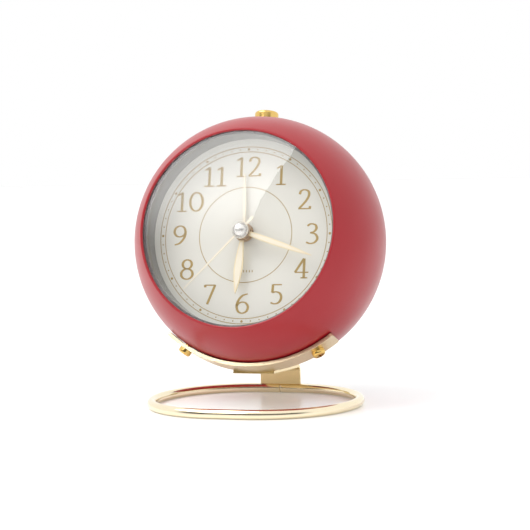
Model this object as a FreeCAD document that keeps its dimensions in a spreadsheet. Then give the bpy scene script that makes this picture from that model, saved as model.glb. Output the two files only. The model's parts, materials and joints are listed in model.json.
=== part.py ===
import FreeCAD, Part
import math
import os
import re
import Sketcher

# A ball alarm clock on a wire-and-strap stand.
# Row frame: +Z up from the table, the dial faces -Y and leans back, +X is the dial's right.
# The movement and case are drawn in the clock's own frame: Z out of the dial, Y up the dial.

doc = FreeCAD.newDocument("alarm_clock")
Vector = FreeCAD.Vector

# ---------------------------------------------------------------- driving dimensions (mm, degrees)

DIMENSIONS = [
    ("ball_radius", 50.0, "outside of the ball"),
    ("shell_wall", 1.0, "sheet of the ball"),
    ("ball_lift", 13.5, "lowest point of the ball above the table"),
    ("ball_back", 4.12, "ball centre behind the origin"),
    ("dial_lean", 14.3, "how far the dial leans back"),
    ("front_opening", 38.2, "radius of the opening in front of the dial"),
    ("rear_plane", 30.0, "ball centre to the flat rear rim"),
    ("rim_round", 0.45, "rounding of the front rim"),
    ("part_gap", 0.1, "clearance between pieces that only lie together"),
    ("running_gap", 0.05, "radial clearance of every shaft and slide"),
    ("stack_gap", 0.14, "lens edge inside the sheet of the ball"),
    ("lens_front", 30.0, "ball centre to the outside of the lens"),
    ("lens_thick", 1.5, "glass"),
    ("gasket_thick", 0.5, "seal behind the lens"),
    ("gasket_width", 1.2, "seal, across"),
    ("bezel_wall", 1.1, "inner bezel"),
    ("dial_front", 19.0, "ball centre to the face of the dial"),
    ("dial_thick", 0.8, "dial plate"),
    ("ring_thick", 1.8, "mounting ring plate"),
    ("post_radius", 2.6, "screw posts of the mounting ring"),
    ("screw_x", 22.0, "upper cover screws from the centre line"),
    ("screw_y", 20.0, "upper cover screws above the centre"),
    ("low_screw_y", 26.0, "lower cover screw below the centre"),
    ("cover_screw_radius", 1.1, "cover screw shank"),
    ("cover_screw_length", 9.0, "cover screw under its head"),
    ("cover_head_radius", 2.1, "cover screw head"),
    ("cover_head_height", 1.4, "cover screw head"),
    ("case_half_width", 30.0, "movement case, half of its width"),
    ("case_top", 16.0, "movement case above the centre"),
    ("case_bottom", 20.5, "movement case below the centre"),
    ("case_wall", 1.5, "movement case"),
    ("case_corner", 3.0, "movement case corner rounding"),
    ("train_floor", 4.8, "front face of the train plate"),
    ("train_plate_thick", 1.2, "train plate"),
    ("case_back", 13.0, "ball centre to the back of the movement"),
    ("cover_thick", 1.5, "rear cover"),
    ("cover_floor_radius", 33.4, "flat floor of the rear cover's recess"),
    ("cover_mouth_radius", 37.0, "mouth of the recess"),
    ("cover_rim_thick", 1.2, "flange of the rear cover"),
    ("tooth_module", 0.4, "motion work and alarm wheels"),
    ("train_module", 0.2, "wheels driven by the motor"),
    ("motion_distance", 10.0, "centre arbor to minute wheel"),
    ("wheel_thick", 0.8, "motion work wheels"),
    ("thin_wheel_thick", 0.5, "wheels driven by the motor"),
    ("second_arbor_radius", 0.4, "innermost arbor"),
    ("tube_wall", 0.4, "each of the three hand tubes"),
    ("bushing_wall", 0.7, "tube of the front case round the hand tubes"),
    ("second_wheel_low", 8.2, "level of the second wheel"),
    ("transfer_wheel_low", 9.3, "level of the transfer wheel"),
    ("minute_wheel_low", 10.6, "level of the cannon pinion and minute wheel"),
    ("hour_wheel_low", 12.0, "level of the hour wheel"),
    ("alarm_wheel_low", 13.4, "level of the alarm wheel"),
    ("setting_shaft_radius", 1.0, "shafts of the two setting knobs"),
    ("knob_radius", 5.0, "setting knobs"),
    ("knob_height", 8.4, "setting knobs"),
    ("hand_thick", 0.4, "each hand"),
    ("inlay_thick", 0.12, "cream inlay on the hands"),
    ("alarm_hand_level", 1.2, "underside of the alarm hand above the dial"),
    ("hour_hand_level", 2.8, "underside of the hour hand above the dial"),
    ("minute_hand_level", 4.5, "underside of the minute hand above the dial"),
    ("second_hand_level", 6.2, "underside of the second hand above the dial"),
    ("hub_radius", 2.75, "hub discs of the hands"),
    ("cap_radius", 3.4, "domed cap on the centre"),
    ("cap_height", 2.5, "domed cap on the centre"),
    ("alarm_hand_length", 23.3, "from the centre"),
    ("hour_hand_length", 24.2, "from the centre"),
    ("minute_hand_length", 29.9, "from the centre"),
    ("second_hand_length", 31.5, "from the centre"),
    ("second_hand_tail", 7.1, "from the centre"),
    ("alarm_hand_angle", 357.5, "clockwise from 12"),
    ("hour_hand_angle", 184.6, "clockwise from 12"),
    ("minute_hand_angle", 108.8, "clockwise from 12"),
    ("second_hand_angle", 223.6, "clockwise from 12"),
    ("battery_radius", 7.25, "AA cell"),
    ("battery_length", 50.5, "AA cell with its nub"),
    ("battery_y", 11.3, "cell axis below the centre"),
    ("battery_z", 4.0, "cell axis behind the ball centre"),
    ("door_half_width", 26.0, "battery door"),
    ("door_top", 3.8, "upper edge of the door below the centre"),
    ("door_bottom", 18.8, "lower edge of the door below the centre"),
    ("hinge_radius", 0.9, "knuckle of the battery door"),
    ("button_radius", 4.8, "button on top"),
    ("button_top", 53.3, "ball centre to the button's top"),
    ("button_round", 1.1, "edge of the button"),
    ("button_travel", 1.5, "stroke of the button"),
    ("flange_radius", 6.0, "stop flange of the button"),
    ("flange_top", 48.0, "ball centre to the top of the flange"),
    ("flange_thick", 1.2, "stop flange of the button"),
    ("stem_radius", 1.6, "button stem"),
    ("stem_end", 39.9, "ball centre to the end of the stem"),
    ("holder_wall", 1.7, "button holder"),
    ("holder_floor", 38.9, "ball centre to the underside of the holder's floor"),
    ("holder_floor_thick", 1.5, "button holder"),
    ("holder_end", 34.0, "ball centre to the lower end of the holder"),
    ("spring_wire", 0.3, "radius of the button spring's wire"),
    ("spring_radius", 3.4, "coil of the button spring"),
    ("board_thick", 1.0, "circuit boards"),
    ("switch_side", 6.0, "tact switch"),
    ("switch_height", 2.2, "tact switch"),
    ("slider_x", 21.0, "alarm switch from the centre line"),
    ("slider_y", 6.3, "alarm switch above the centre, at off"),
    ("slider_travel", 4.0, "stroke of the alarm switch"),
    ("wire_radius", 1.9, "wire of the base ring"),
    ("foot_flat", 0.1, "depth of the ground flat under the ring"),
    ("ring_straight", 6.8, "half of each straight run of the ring"),
    ("ring_end_radius", 34.5, "round ends of the ring, to the wire's centre"),
    ("ring_back", -7.68, "ring centre behind the origin"),
    ("seam_gap", 0.2, "butt joint of the ring"),
    ("strap_lean", 20.4, "how far the strap leans back"),
    ("strap_gap", 0.3, "between ball and strap"),
    ("strap_thick", 1.4, "strap under the ball"),
    ("strap_width", 10.0, "strap under the ball"),
    ("strap_angle", 82.2, "arc of the strap"),
    ("strap_corner", 1.0, "rounded corners of the strap"),
    ("saddle_screw_angle", 31.5, "saddle screws each side of the strap's lowest point"),
    ("saddle_screw_radius", 1.5, "M3 saddle screws"),
    ("saddle_screw_length", 6.5, "under the head"),
    ("saddle_head_radius", 2.6, "pan head"),
    ("saddle_head_height", 2.2, "pan head"),
    ("recess_width", 0.8, "cross recess"),
    ("recess_length", 3.0, "cross recess"),
    ("recess_depth", 1.1, "cross recess"),
    ("nut_flats", 5.5, "M3 nut"),
    ("nut_height", 2.4, "M3 nut"),
    ("plate_width", 17.0, "support plate"),
    ("plate_thick", 1.4, "support plate"),
    ("plate_clearance", 0.17, "ball above the support plate, where they are closest"),
    ("plate_bend", 3.0, "outer radius of the support plate's bend"),
    ("plate_lap", 0.7, "front end of the support plate above the strap's outer face, butted to its edge"),
    ("weld_depth", 0.3, "how far the support plate's foot is sunk in the wire"),
    ("magnet_radius", 2.1, "motor magnet"),
    ("magnet_low", 6.6, "motor magnet"),
    ("magnet_high", 8.8, "motor magnet"),
    ("stator_low", 6.9, "level of the stator plate"),
    ("stator_thick", 1.2, "stator plate"),
    ("stator_margin", 3.4, "stator plate beside the rotor's axis"),
    ("stator_length", 18.4, "stator plate"),
    ("stator_width", 6.4, "stator plate round the rotor"),
    ("stator_leg", 2.8, "legs of the stator plate"),
    ("coil_distance", 7.4, "rotor axis to coil axis"),
    ("coil_radius", 2.6, "motor coil"),
    ("core_width", 2.0, "core of the coil"),
    ("nub_height", 1.0, "nub of the cell"),
    ("nub_radius", 2.75, "nub of the cell"),
    ("cell_round", 0.6, "rims of the cell"),
    ("contact_thick", 0.4, "battery contacts"),
    ("contact_width", 10.0, "battery contacts"),
    ("contact_spring_radius", 3.6, "foot of the contact spring"),
    ("contact_wire", 0.25, "radius of the contact spring's wire"),
    ("contact_turns", 2.5, "contact spring"),
    ("contact_taper", 12.0, "contact spring"),
    ("board_gap", 1.2, "train plate to circuit board"),
    ("board_width", 18.0, "circuit board"),
    ("board_height", 14.5, "circuit board"),
    ("board_bottom", 0.6, "lower edge of the board below the centre"),
    ("chip_curve", 4.0, "dome over the chip"),
    ("chip_height", 1.4, "dome over the chip"),
    ("chip_x", 3.5, "chip from the centre line"),
    ("chip_y", 6.0, "chip above the centre"),
    ("quartz_radius", 1.0, "quartz can"),
    ("quartz_length", 6.0, "quartz can"),
    ("quartz_x", 1.5, "quartz can from the centre line"),
    ("quartz_y", 10.0, "quartz can above the centre"),
    ("buzzer_x", 21.5, "buzzer from the centre line"),
    ("buzzer_y", 7.4, "buzzer above the centre"),
    ("buzzer_radius", 6.0, "buzzer"),
    ("buzzer_height", 7.5, "buzzer"),
    ("buzzer_mouth", 1.2, "sound hole of the buzzer"),
    ("cover_head_round", 0.5, "rear cover screws"),
    ("cover_recess_width", 0.7, "rear cover screws"),
    ("cover_recess_length", 2.6, "rear cover screws"),
    ("cover_recess_depth", 0.8, "rear cover screws"),
    ("knob_gap", 0.5, "rear cover to knob"),
    ("knob_round", 0.7, "setting knobs"),
    ("groove_radius", 0.35, "grip grooves"),
    ("groove_start", 1.0, "end of the knob to the grooves"),
    ("groove_count", 20, "grip grooves on each knob"),
    ("thumb_width", 6.0, "thumb piece of the alarm switch"),
    ("thumb_length", 5.0, "thumb piece of the alarm switch"),
    ("thumb_height", 2.6, "thumb piece of the alarm switch"),
    ("thumb_bevel", 0.5, "thumb piece of the alarm switch"),
    ("thumb_line", 0.5, "grip lines of the thumb piece"),
    ("thumb_pitch", 1.2, "grip lines of the thumb piece"),
    ("neck_side", 3.0, "neck of the alarm switch"),
    ("shoe_width", 7.0, "shoe of the alarm switch inside the cover"),
    ("shoe_thick", 1.2, "shoe of the alarm switch inside the cover"),
    ("catch_width", 8.0, "finger catch of the door"),
    ("catch_height", 1.6, "finger catch of the door"),
    ("catch_depth", 0.9, "finger catch of the door"),
    ("catch_inset", 1.4, "door's upper edge to the middle of the catch"),
    ("catch_bevel", 0.4, "finger catch of the door"),
    ("knuckle_length", 8.0, "knuckles of the door"),
    ("knuckle_inset", 2.0, "door's side to the knuckle"),
    ("spring_turns", 4.0, "button spring"),
    ("spring_taper", 3.0, "button spring"),
    ("plunger_radius", 1.5, "plunger of the tact switch"),
]

# Sizes that follow from the ones above. The top of the support plate is tangent to a circle that is
# plate_clearance larger than the ball, and its front end is the rear edge of the strap.
FOLLOWING = [
    ("ball_height", "=ball_lift + ball_radius", "ball centre above the table"),
    ("stack_radius", "=sqrt((ball_radius - shell_wall) ^ 2 - lens_front ^ 2) - stack_gap",
     "radius of lens, gasket, bezel, dial and mounting ring"),
    ("plate_reach", "=ball_radius + strap_gap + strap_thick - plate_lap",
     "ball centre to the plate's front"),
    ("plate_end", "=sqrt(plate_reach ^ 2 + (strap_width / 2) ^ 2)",
     "ball centre to the plate's front corner"),
    ("plate_slope", "=strap_lean - atan(strap_width / 2 / plate_reach) / 1deg"
     " - acos((ball_radius + plate_clearance) / plate_end) / 1deg", "fall of the plate towards the rear"),
    ("plate_top", "=ball_height - (ball_radius + plate_clearance) / cos(plate_slope * 1deg)"
     " - (ring_back + ring_end_radius + plate_thick / 2 - ball_back) * tan(plate_slope * 1deg)",
     "top of the support plate above the table, at the rear"),
]

sheet = doc.addObject("Spreadsheet::Sheet", "Sizes")
for line, (alias, number, meaning) in enumerate(DIMENSIONS + FOLLOWING, start=1):
    sheet.set("A%d" % line, alias)
    sheet.set("B%d" % line, str(number))
    sheet.set("C%d" % line, meaning)
    sheet.setAlias("B%d" % line, alias)
doc.recompute()

NAMES = {alias for alias, number, meaning in DIMENSIONS + FOLLOWING}
SIZE = {alias: float(sheet.get(alias)) for alias in NAMES}

# Levels and radii that several pieces share, as expressions of the sheet's values.
DIAL_BACK = "(dial_front - dial_thick)"
RING_LOW = "(dial_front - dial_thick - ring_thick)"
TRAIN_LOW = "(train_floor - train_plate_thick)"
COVER_FRONT = "(-case_back - part_gap)"
COVER_BACK = "(-case_back - part_gap - cover_thick)"
MINUTE_BORE = "(second_arbor_radius + running_gap)"
MINUTE_OUT = "(second_arbor_radius + running_gap + tube_wall)"
HOUR_BORE = "(second_arbor_radius + 2 * running_gap + tube_wall)"
HOUR_OUT = "(second_arbor_radius + 2 * running_gap + 2 * tube_wall)"
ALARM_BORE = "(second_arbor_radius + 3 * running_gap + 2 * tube_wall)"
ALARM_OUT = "(second_arbor_radius + 3 * running_gap + 3 * tube_wall)"
BUSHING_BORE = "(second_arbor_radius + 4 * running_gap + 3 * tube_wall)"
BUSHING_OUT = "(second_arbor_radius + 4 * running_gap + 3 * tube_wall + bushing_wall)"
STRAP_IN = "(ball_radius + strap_gap)"
STRAP_OUT = "(ball_radius + strap_gap + strap_thick)"


def bound(expression):
    """An expression for the document, with every size read from the sheet."""
    def cell(match):
        word = match.group(0)
        return "Sizes." + word if word in NAMES else word
    return re.sub(r"[a-z_]+", cell, expression)


# ---------------------------------------------------------------- where the pieces stand

finished = []


def keep(piece, node):
    """Names a sub-part and puts it on the list that is written out."""
    piece.Label = node
    finished.append(piece)
    return piece


def in_clock(piece, x="0", y="0"):
    """Places a piece in the clock's frame, its Z axis at (x, y) of the dial."""
    piece.Placement = FreeCAD.Placement(Vector(0, 0, 0), FreeCAD.Rotation(Vector(1, 0, 0), 90))
    piece.setExpression("Placement.Rotation.Angle", bound("90 - dial_lean"))
    piece.setExpression("Placement.Base.x", bound(x))
    piece.setExpression("Placement.Base.y", bound("ball_back + (%s) * sin(dial_lean * 1deg)" % y))
    piece.setExpression("Placement.Base.z", bound("ball_height + (%s) * cos(dial_lean * 1deg)" % y))


def on_top(piece):
    """Places a piece with its Z axis along the button's stroke, up the dial."""
    piece.Placement = FreeCAD.Placement(Vector(0, 0, 0), FreeCAD.Rotation(Vector(-1, 0, 0), 10))
    piece.setExpression("Placement.Rotation.Angle", bound("dial_lean"))
    piece.setExpression("Placement.Base.y", bound("ball_back"))
    piece.setExpression("Placement.Base.z", bound("ball_height"))


def clock_placement():
    turn = FreeCAD.Rotation(Vector(1, 0, 0), 90 - SIZE["dial_lean"])
    return FreeCAD.Placement(Vector(0, SIZE["ball_back"], SIZE["ball_height"]), turn)


def strap_placement(angle):
    """Z points from the ball centre outwards through the strap, at an angle from its lowest point."""
    lean = math.radians(SIZE["strap_lean"])
    axle = Vector(0, math.cos(lean), -math.sin(lean))
    lowest = Vector(0, -math.sin(lean), -math.cos(lean))
    outwards = FreeCAD.Rotation(axle, angle).multVec(lowest)
    turn = FreeCAD.Rotation(outwards.cross(axle) * -1, axle, outwards, "ZYX")
    return FreeCAD.Placement(Vector(0, SIZE["ball_back"], SIZE["ball_height"]), turn)


# ---------------------------------------------------------------- ways to draw a piece

def new_body(node):
    return doc.addObject("PartDesign::Body", node)


def new_sketch(body, role, offset="0"):
    """An empty sketch on one of the body's own origin planes."""
    sketch = body.newObject("Sketcher::SketchObject", body.Name + "_sketch")
    plane = [item for item in body.Origin.OriginFeatures if item.Role == role][0]
    sketch.AttachmentSupport = (plane, "")
    sketch.MapMode = "FlatFace"
    sketch.setExpression("AttachmentOffset.Base.z", bound(offset))
    return sketch


def add_polygon(sketch, points):
    """A closed outline whose corners are tied to (x, y) expressions."""
    first = sketch.GeometryCount
    count = len(points)
    start = [Vector(math.cos(2 * math.pi * i / count), math.sin(2 * math.pi * i / count), 0)
             for i in range(count)]
    for i in range(count):
        sketch.addGeometry(Part.LineSegment(start[i], start[(i + 1) % count]), False)
    for i in range(count):
        sketch.addConstraint(Sketcher.Constraint("Coincident", first + i, 2, first + (i + 1) % count, 1))
    for i, (x, y) in enumerate(points):
        for kind, expression in (("DistanceX", x), ("DistanceY", y)):
            rule = sketch.addConstraint(Sketcher.Constraint(kind, -1, 1, first + i, 1, 1.0))
            sketch.setExpression("Constraints[%d]" % rule, bound(expression))


def add_circle(sketch, radius, x="0", y="0"):
    """A circle whose centre and radius are tied to expressions."""
    ring = sketch.addGeometry(Part.Circle(Vector(1, 1, 0), Vector(0, 0, 1), 1), False)
    rule = sketch.addConstraint(Sketcher.Constraint("Radius", ring, 1.0))
    sketch.setExpression("Constraints[%d]" % rule, bound(radius))
    for kind, expression in (("DistanceX", x), ("DistanceY", y)):
        rule = sketch.addConstraint(Sketcher.Constraint(kind, -1, 1, ring, 3, 1.0))
        sketch.setExpression("Constraints[%d]" % rule, bound(expression))


def rectangle(x_low, y_low, x_high, y_high):
    return [(x_low, y_low), (x_high, y_low), (x_high, y_high), (x_low, y_high)]


def turn_profile(body, points, subtract=False):
    """Revolves a (radius, height) outline about the body's Z axis, to add or to remove."""
    sketch = new_sketch(body, "XZ_Plane")
    add_polygon(sketch, points)
    kind = "PartDesign::Groove" if subtract else "PartDesign::Revolution"
    feature = body.newObject(kind, body.Name + "_turned")
    feature.Profile = sketch
    feature.ReferenceAxis = (sketch, ["V_Axis"])
    feature.Angle = 360
    return feature


def turned(node, points):
    body = new_body(node)
    turn_profile(body, points)
    return keep(body, node)


def pad(body, sketch, length):
    feature = body.newObject("PartDesign::Pad", body.Name + "_pad")
    feature.Profile = sketch
    feature.setExpression("Length", bound(length))
    return feature


def pocket(body, sketch, length, forward=False):
    """Removes a sketch's outline below its plane, or above it when forward is set."""
    feature = body.newObject("PartDesign::Pocket", body.Name + "_pocket")
    feature.Profile = sketch
    feature.Reversed = forward
    feature.setExpression("Length", bound(length))
    return feature


def add_box(body, points, low, length):
    sketch = new_sketch(body, "XY_Plane", low)
    add_polygon(sketch, points)
    return pad(body, sketch, length)


def cut_box(body, points, low, length):
    sketch = new_sketch(body, "XY_Plane", low)
    add_polygon(sketch, points)
    return pocket(body, sketch, length, forward=True)


def cut_holes(body, holes, low, length):
    """Removes round holes, each (radius, x, y), upwards from a level."""
    sketch = new_sketch(body, "XY_Plane", low)
    for radius, x, y in holes:
        add_circle(sketch, radius, x, y)
    return pocket(body, sketch, length, forward=True)


def edges_where(shape, test):
    """Names of the edges whose middle point and direction pass a test."""
    names = []
    for number, edge in enumerate(shape.Edges, start=1):
        middle = edge.valueAt((edge.FirstParameter + edge.LastParameter) / 2)
        if test(edge, middle):
            names.append("Edge%d" % number)
    return names


def round_edges(body, feature, test, radius):
    """Rounds the edges of a body's last feature that pass a test."""
    doc.recompute()
    fillet = body.newObject("PartDesign::Fillet", body.Name + "_round")
    fillet.Base = (feature, edges_where(feature.Shape, test))
    fillet.setExpression("Radius", bound(radius))
    return fillet


def along_z(edge, middle):
    ends = edge.Vertexes
    return len(ends) == 2 and (ends[0].Point - ends[1].Point).getAngle(Vector(0, 0, 1)) % math.pi < 0.01


def shaped(node, shape, placement):
    """A piece whose shape comes from Part's own functions."""
    piece = doc.addObject("Part::Feature", node)
    piece.Shape = shape
    piece.Placement = placement * shape.Placement
    return keep(piece, node)


def block(wide, deep, low, top, x, y):
    """A box centred on (x, y) between two levels."""
    return Part.makeBox(wide, deep, top - low, Vector(x - wide / 2, y - deep / 2, low))


def coil_spring(radius, wire, height, turns, taper):
    """Round wire wound about Z from height 0, narrowing upwards by an angle."""
    coil = Part.makeHelix(height / turns, height, radius, taper)
    ring = Part.Wire(Part.makeCircle(wire, Vector(radius, 0, 0), Vector(0, 1, 0)))
    return Part.Wire(coil).makePipeShell([ring], True, True)


def cross(wide, length, low, high):
    """Cutter for a cross recess."""
    upright = block(wide, length, low, high, 0, 0)
    return upright.fuse(block(length, wide, low, high, 0, 0))


def tube_shape(inner, outer, low, high):
    solid = Part.makeCylinder(outer, high - low, Vector(0, 0, low))
    if inner <= 0:
        return solid
    return solid.cut(Part.makeCylinder(inner, high - low + 2, Vector(0, 0, low - 1)))


# ---------------------------------------------------------------- gears

def tooth_outline(teeth, module, phase):
    """Straight-flanked teeth with generous backlash; one tooth points along phase."""
    pitch = 2 * math.pi / teeth
    radius = module * teeth / 2
    flank = [(radius - 1.1 * module, -0.27), (radius, -0.18), (radius + 0.75 * module, -0.08),
             (radius + 0.75 * module, 0.08), (radius, 0.18), (radius - 1.1 * module, 0.27)]
    corners = []
    for tooth in range(teeth):
        for reach, share in flank:
            angle = phase + pitch * (tooth + share)
            corners.append(Vector(reach * math.cos(angle), reach * math.sin(angle), 0))
    return Part.Face(Part.makePolygon(corners + corners[:1]))


def gear_shape(teeth, module, phase, low, high):
    face = tooth_outline(teeth, module, phase)
    face.translate(Vector(0, 0, low))
    return face.extrude(Vector(0, 0, high - low))


def meshed_phase(phase, teeth, direction, other_teeth):
    """Phase of a gear that meshes with one of a known phase, seen from it along a direction."""
    travelled = (phase - direction) * teeth / (2 * math.pi)
    return direction + math.pi - (travelled + 0.5) * 2 * math.pi / other_teeth


CANNON_TEETH = 12
MINUTE_WHEEL_TEETH = 36
MINUTE_PINION_TEETH = 10
HOUR_WHEEL_TEETH = 40
ALARM_WHEEL_TEETH = 60
SETTING_TEETH = 12
SECOND_WHEEL_TEETH = 60
TRANSFER_PINION_TEETH = 10
TRANSFER_WHEEL_TEETH = 50
ROTOR_TEETH = 10

# Axes in the dial's plane, from the centre arbor.
alarm_module = SIZE["tooth_module"]
hour_module = 2 * SIZE["motion_distance"] / (MINUTE_PINION_TEETH + HOUR_WHEEL_TEETH)
minute_module = 2 * SIZE["motion_distance"] / (CANNON_TEETH + MINUTE_WHEEL_TEETH)
train_module = SIZE["train_module"]
setting_distance = alarm_module * (ALARM_WHEEL_TEETH + SETTING_TEETH) / 2
SETTING_DIRECTION = math.radians(35)
alarm_axis = Vector(math.cos(SETTING_DIRECTION), math.sin(SETTING_DIRECTION), 0) * setting_distance
time_axis = Vector(-alarm_axis.x, alarm_axis.y, 0)
half_way = setting_distance / 2
sideways = math.sqrt(SIZE["motion_distance"] ** 2 - half_way ** 2)
minute_axis = time_axis * 0.5 + Vector(-alarm_axis.y, -alarm_axis.x, 0).normalize() * sideways
transfer_distance = train_module * (SECOND_WHEEL_TEETH + TRANSFER_PINION_TEETH) / 2
rotor_distance = train_module * (TRANSFER_WHEEL_TEETH + ROTOR_TEETH) / 2
TRANSFER_DIRECTION = math.radians(-50)
ROTOR_DIRECTION = math.radians(-20)
transfer_axis = Vector(math.cos(TRANSFER_DIRECTION), math.sin(TRANSFER_DIRECTION), 0) * transfer_distance
rotor_axis = transfer_axis + Vector(math.cos(ROTOR_DIRECTION), math.sin(ROTOR_DIRECTION), 0) * rotor_distance


def heading(start, end):
    return math.atan2(end.y - start.y, end.x - start.x)


def at(axis):
    """A clock-frame placement whose Z axis passes through a point of the dial's plane."""
    return clock_placement() * FreeCAD.Placement(axis, FreeCAD.Rotation())


centre = Vector(0, 0, 0)
minute_wheel_phase = heading(minute_axis, centre)
cannon_phase = meshed_phase(minute_wheel_phase, MINUTE_WHEEL_TEETH, minute_wheel_phase, CANNON_TEETH)
time_pinion_phase = meshed_phase(minute_wheel_phase, MINUTE_WHEEL_TEETH,
                                 heading(minute_axis, time_axis), SETTING_TEETH)
hour_wheel_phase = meshed_phase(
    minute_wheel_phase, MINUTE_PINION_TEETH, minute_wheel_phase, HOUR_WHEEL_TEETH)
alarm_pinion_phase = meshed_phase(0, ALARM_WHEEL_TEETH, SETTING_DIRECTION, SETTING_TEETH)
transfer_pinion_phase = meshed_phase(0, SECOND_WHEEL_TEETH, TRANSFER_DIRECTION, TRANSFER_PINION_TEETH)
rotor_phase = meshed_phase(transfer_pinion_phase, TRANSFER_WHEEL_TEETH, ROTOR_DIRECTION, ROTOR_TEETH)


def number(expression):
    """The value of one of the shared expressions."""
    doc.recompute()
    sheet.set("E1", "=" + expression)
    doc.recompute()
    value = float(sheet.get("E1"))
    sheet.clear("E1")
    return value


minute_bore = number(MINUTE_BORE)
minute_out = number(MINUTE_OUT)
hour_bore = number(HOUR_BORE)
hour_out = number(HOUR_OUT)
alarm_bore = number(ALARM_BORE)
alarm_out = number(ALARM_OUT)
dial_front = SIZE["dial_front"]
hand_thick = SIZE["hand_thick"]


def hand_top(name):
    return dial_front + SIZE[name + "_hand_level"] + hand_thick


# ---------------------------------------------------------------- stand

def base_ring():
    """Round wire bent to a long ring, butted at the rear, ground flat underneath."""
    half = SIZE["ring_straight"]
    radius = SIZE["ring_end_radius"]
    gap = SIZE["seam_gap"] / 2
    right = Part.Arc(Vector(half, radius, 0), Vector(half + radius, 0, 0), Vector(half, -radius, 0))
    left = Part.Arc(Vector(-half, -radius, 0), Vector(-half - radius, 0, 0), Vector(-half, radius, 0))
    path = Part.Wire([
        Part.LineSegment(Vector(gap, radius, 0), Vector(half, radius, 0)).toShape(),
        right.toShape(),
        Part.LineSegment(Vector(half, -radius, 0), Vector(-half, -radius, 0)).toShape(),
        left.toShape(),
        Part.LineSegment(Vector(-half, radius, 0), Vector(-gap, radius, 0)).toShape(),
    ])
    wire_radius = SIZE["wire_radius"]
    flat = SIZE["foot_flat"] - wire_radius
    reach = math.sqrt(wire_radius ** 2 - flat ** 2)
    corners = [Vector(gap, radius - reach, flat), Vector(gap, radius + reach, flat)]
    arc = Part.Arc(corners[1], Vector(gap, radius, wire_radius), corners[0])
    section = Part.Wire([Part.LineSegment(corners[0], corners[1]).toShape(), arc.toShape()])
    shape = path.makePipeShell([section], True, False)
    place = FreeCAD.Placement(Vector(0, SIZE["ring_back"], -flat), FreeCAD.Rotation())
    return shaped("base_ring", shape, place)


def support_plate():
    """Plate that rises from the rear of the ring and runs forward to the rear edge of the strap."""
    body = new_body("support_plate")
    sketch = new_sketch(body, "YZ_Plane", "-plate_width / 2")
    lean_sin = "sin(strap_lean * 1deg)"
    lean_cos = "cos(strap_lean * 1deg)"

    def front_point(depth):
        y = "ball_back - (%s + %s) * %s + strap_width / 2 * %s" % (STRAP_OUT, depth, lean_sin, lean_cos)
        z = "ball_height - (%s + %s) * %s - strap_width / 2 * %s" % (STRAP_OUT, depth, lean_cos, lean_sin)
        return (y, z)

    rear = "(ring_back + ring_end_radius + plate_thick / 2)"
    front = "(ring_back + ring_end_radius - plate_thick / 2)"
    foot = "(2 * wire_radius - foot_flat - weld_depth)"
    points = [
        front_point("-plate_lap"),
        (rear, "plate_top"),
        (rear, foot),
        (front, foot),
        (front, "plate_top - plate_thick"),
        front_point("(plate_thick - plate_lap)"),
    ]
    add_polygon(sketch, points)
    plate = pad(body, sketch, "plate_width")
    rear_y = SIZE["ring_back"] + SIZE["ring_end_radius"] + SIZE["plate_thick"] / 2
    top = SIZE["plate_top"]
    thick = SIZE["plate_thick"]

    def outer(edge, middle):
        return abs(middle.x) < 0.01 and abs(middle.y - rear_y) < 0.01 and abs(middle.z - top) < 0.01

    def inner(edge, middle):
        low = abs(middle.z - top + thick) < 0.01
        return abs(middle.x) < 0.01 and abs(middle.y - rear_y + thick) < 0.01 and low
    bend = round_edges(body, plate, outer, "plate_bend")
    round_edges(body, bend, inner, "plate_bend - plate_thick")
    return keep(body, "support_plate")


def saddle_strap():
    """Flat strip bent to an arc under the ball, with two screw holes."""
    body = new_body("saddle_strap_blank")
    sketch = new_sketch(body, "XZ_Plane")
    add_polygon(sketch, rectangle(STRAP_IN, "-strap_width / 2", STRAP_OUT, "strap_width / 2"))
    arc = body.newObject("PartDesign::Revolution", "saddle_strap_arc")
    arc.Profile = sketch
    arc.ReferenceAxis = (sketch, ["V_Axis"])
    arc.Midplane = True
    arc.setExpression("Angle", bound("strap_angle"))

    def corner(edge, middle):
        straight = edge.Length < SIZE["strap_thick"] * 1.1
        return straight and abs(abs(middle.z) - SIZE["strap_width"] / 2) < 0.01
    round_edges(body, arc, corner, "strap_corner")
    body.Placement = strap_placement(0) * FreeCAD.Placement(
        Vector(0, 0, 0), FreeCAD.Rotation(Vector(0, 0, 1), Vector(-1, 0, 0), Vector(0, 1, 0), "XZY"))
    holes = []
    for side in (-1, 1):
        hole = doc.addObject("Part::Cylinder", "saddle_hole")
        hole.setExpression("Radius", bound("saddle_screw_radius + part_gap"))
        hole.setExpression("Height", bound("ball_radius + 5"))
        hole.Placement = strap_placement(side * SIZE["saddle_screw_angle"])
        holes.append(hole)
    tool = doc.addObject("Part::MultiFuse", "saddle_holes")
    tool.Shapes = holes
    strap = doc.addObject("Part::Cut", "saddle_strap")
    strap.Base = body
    strap.Tool = tool
    return keep(strap, "saddle_strap")


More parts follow.
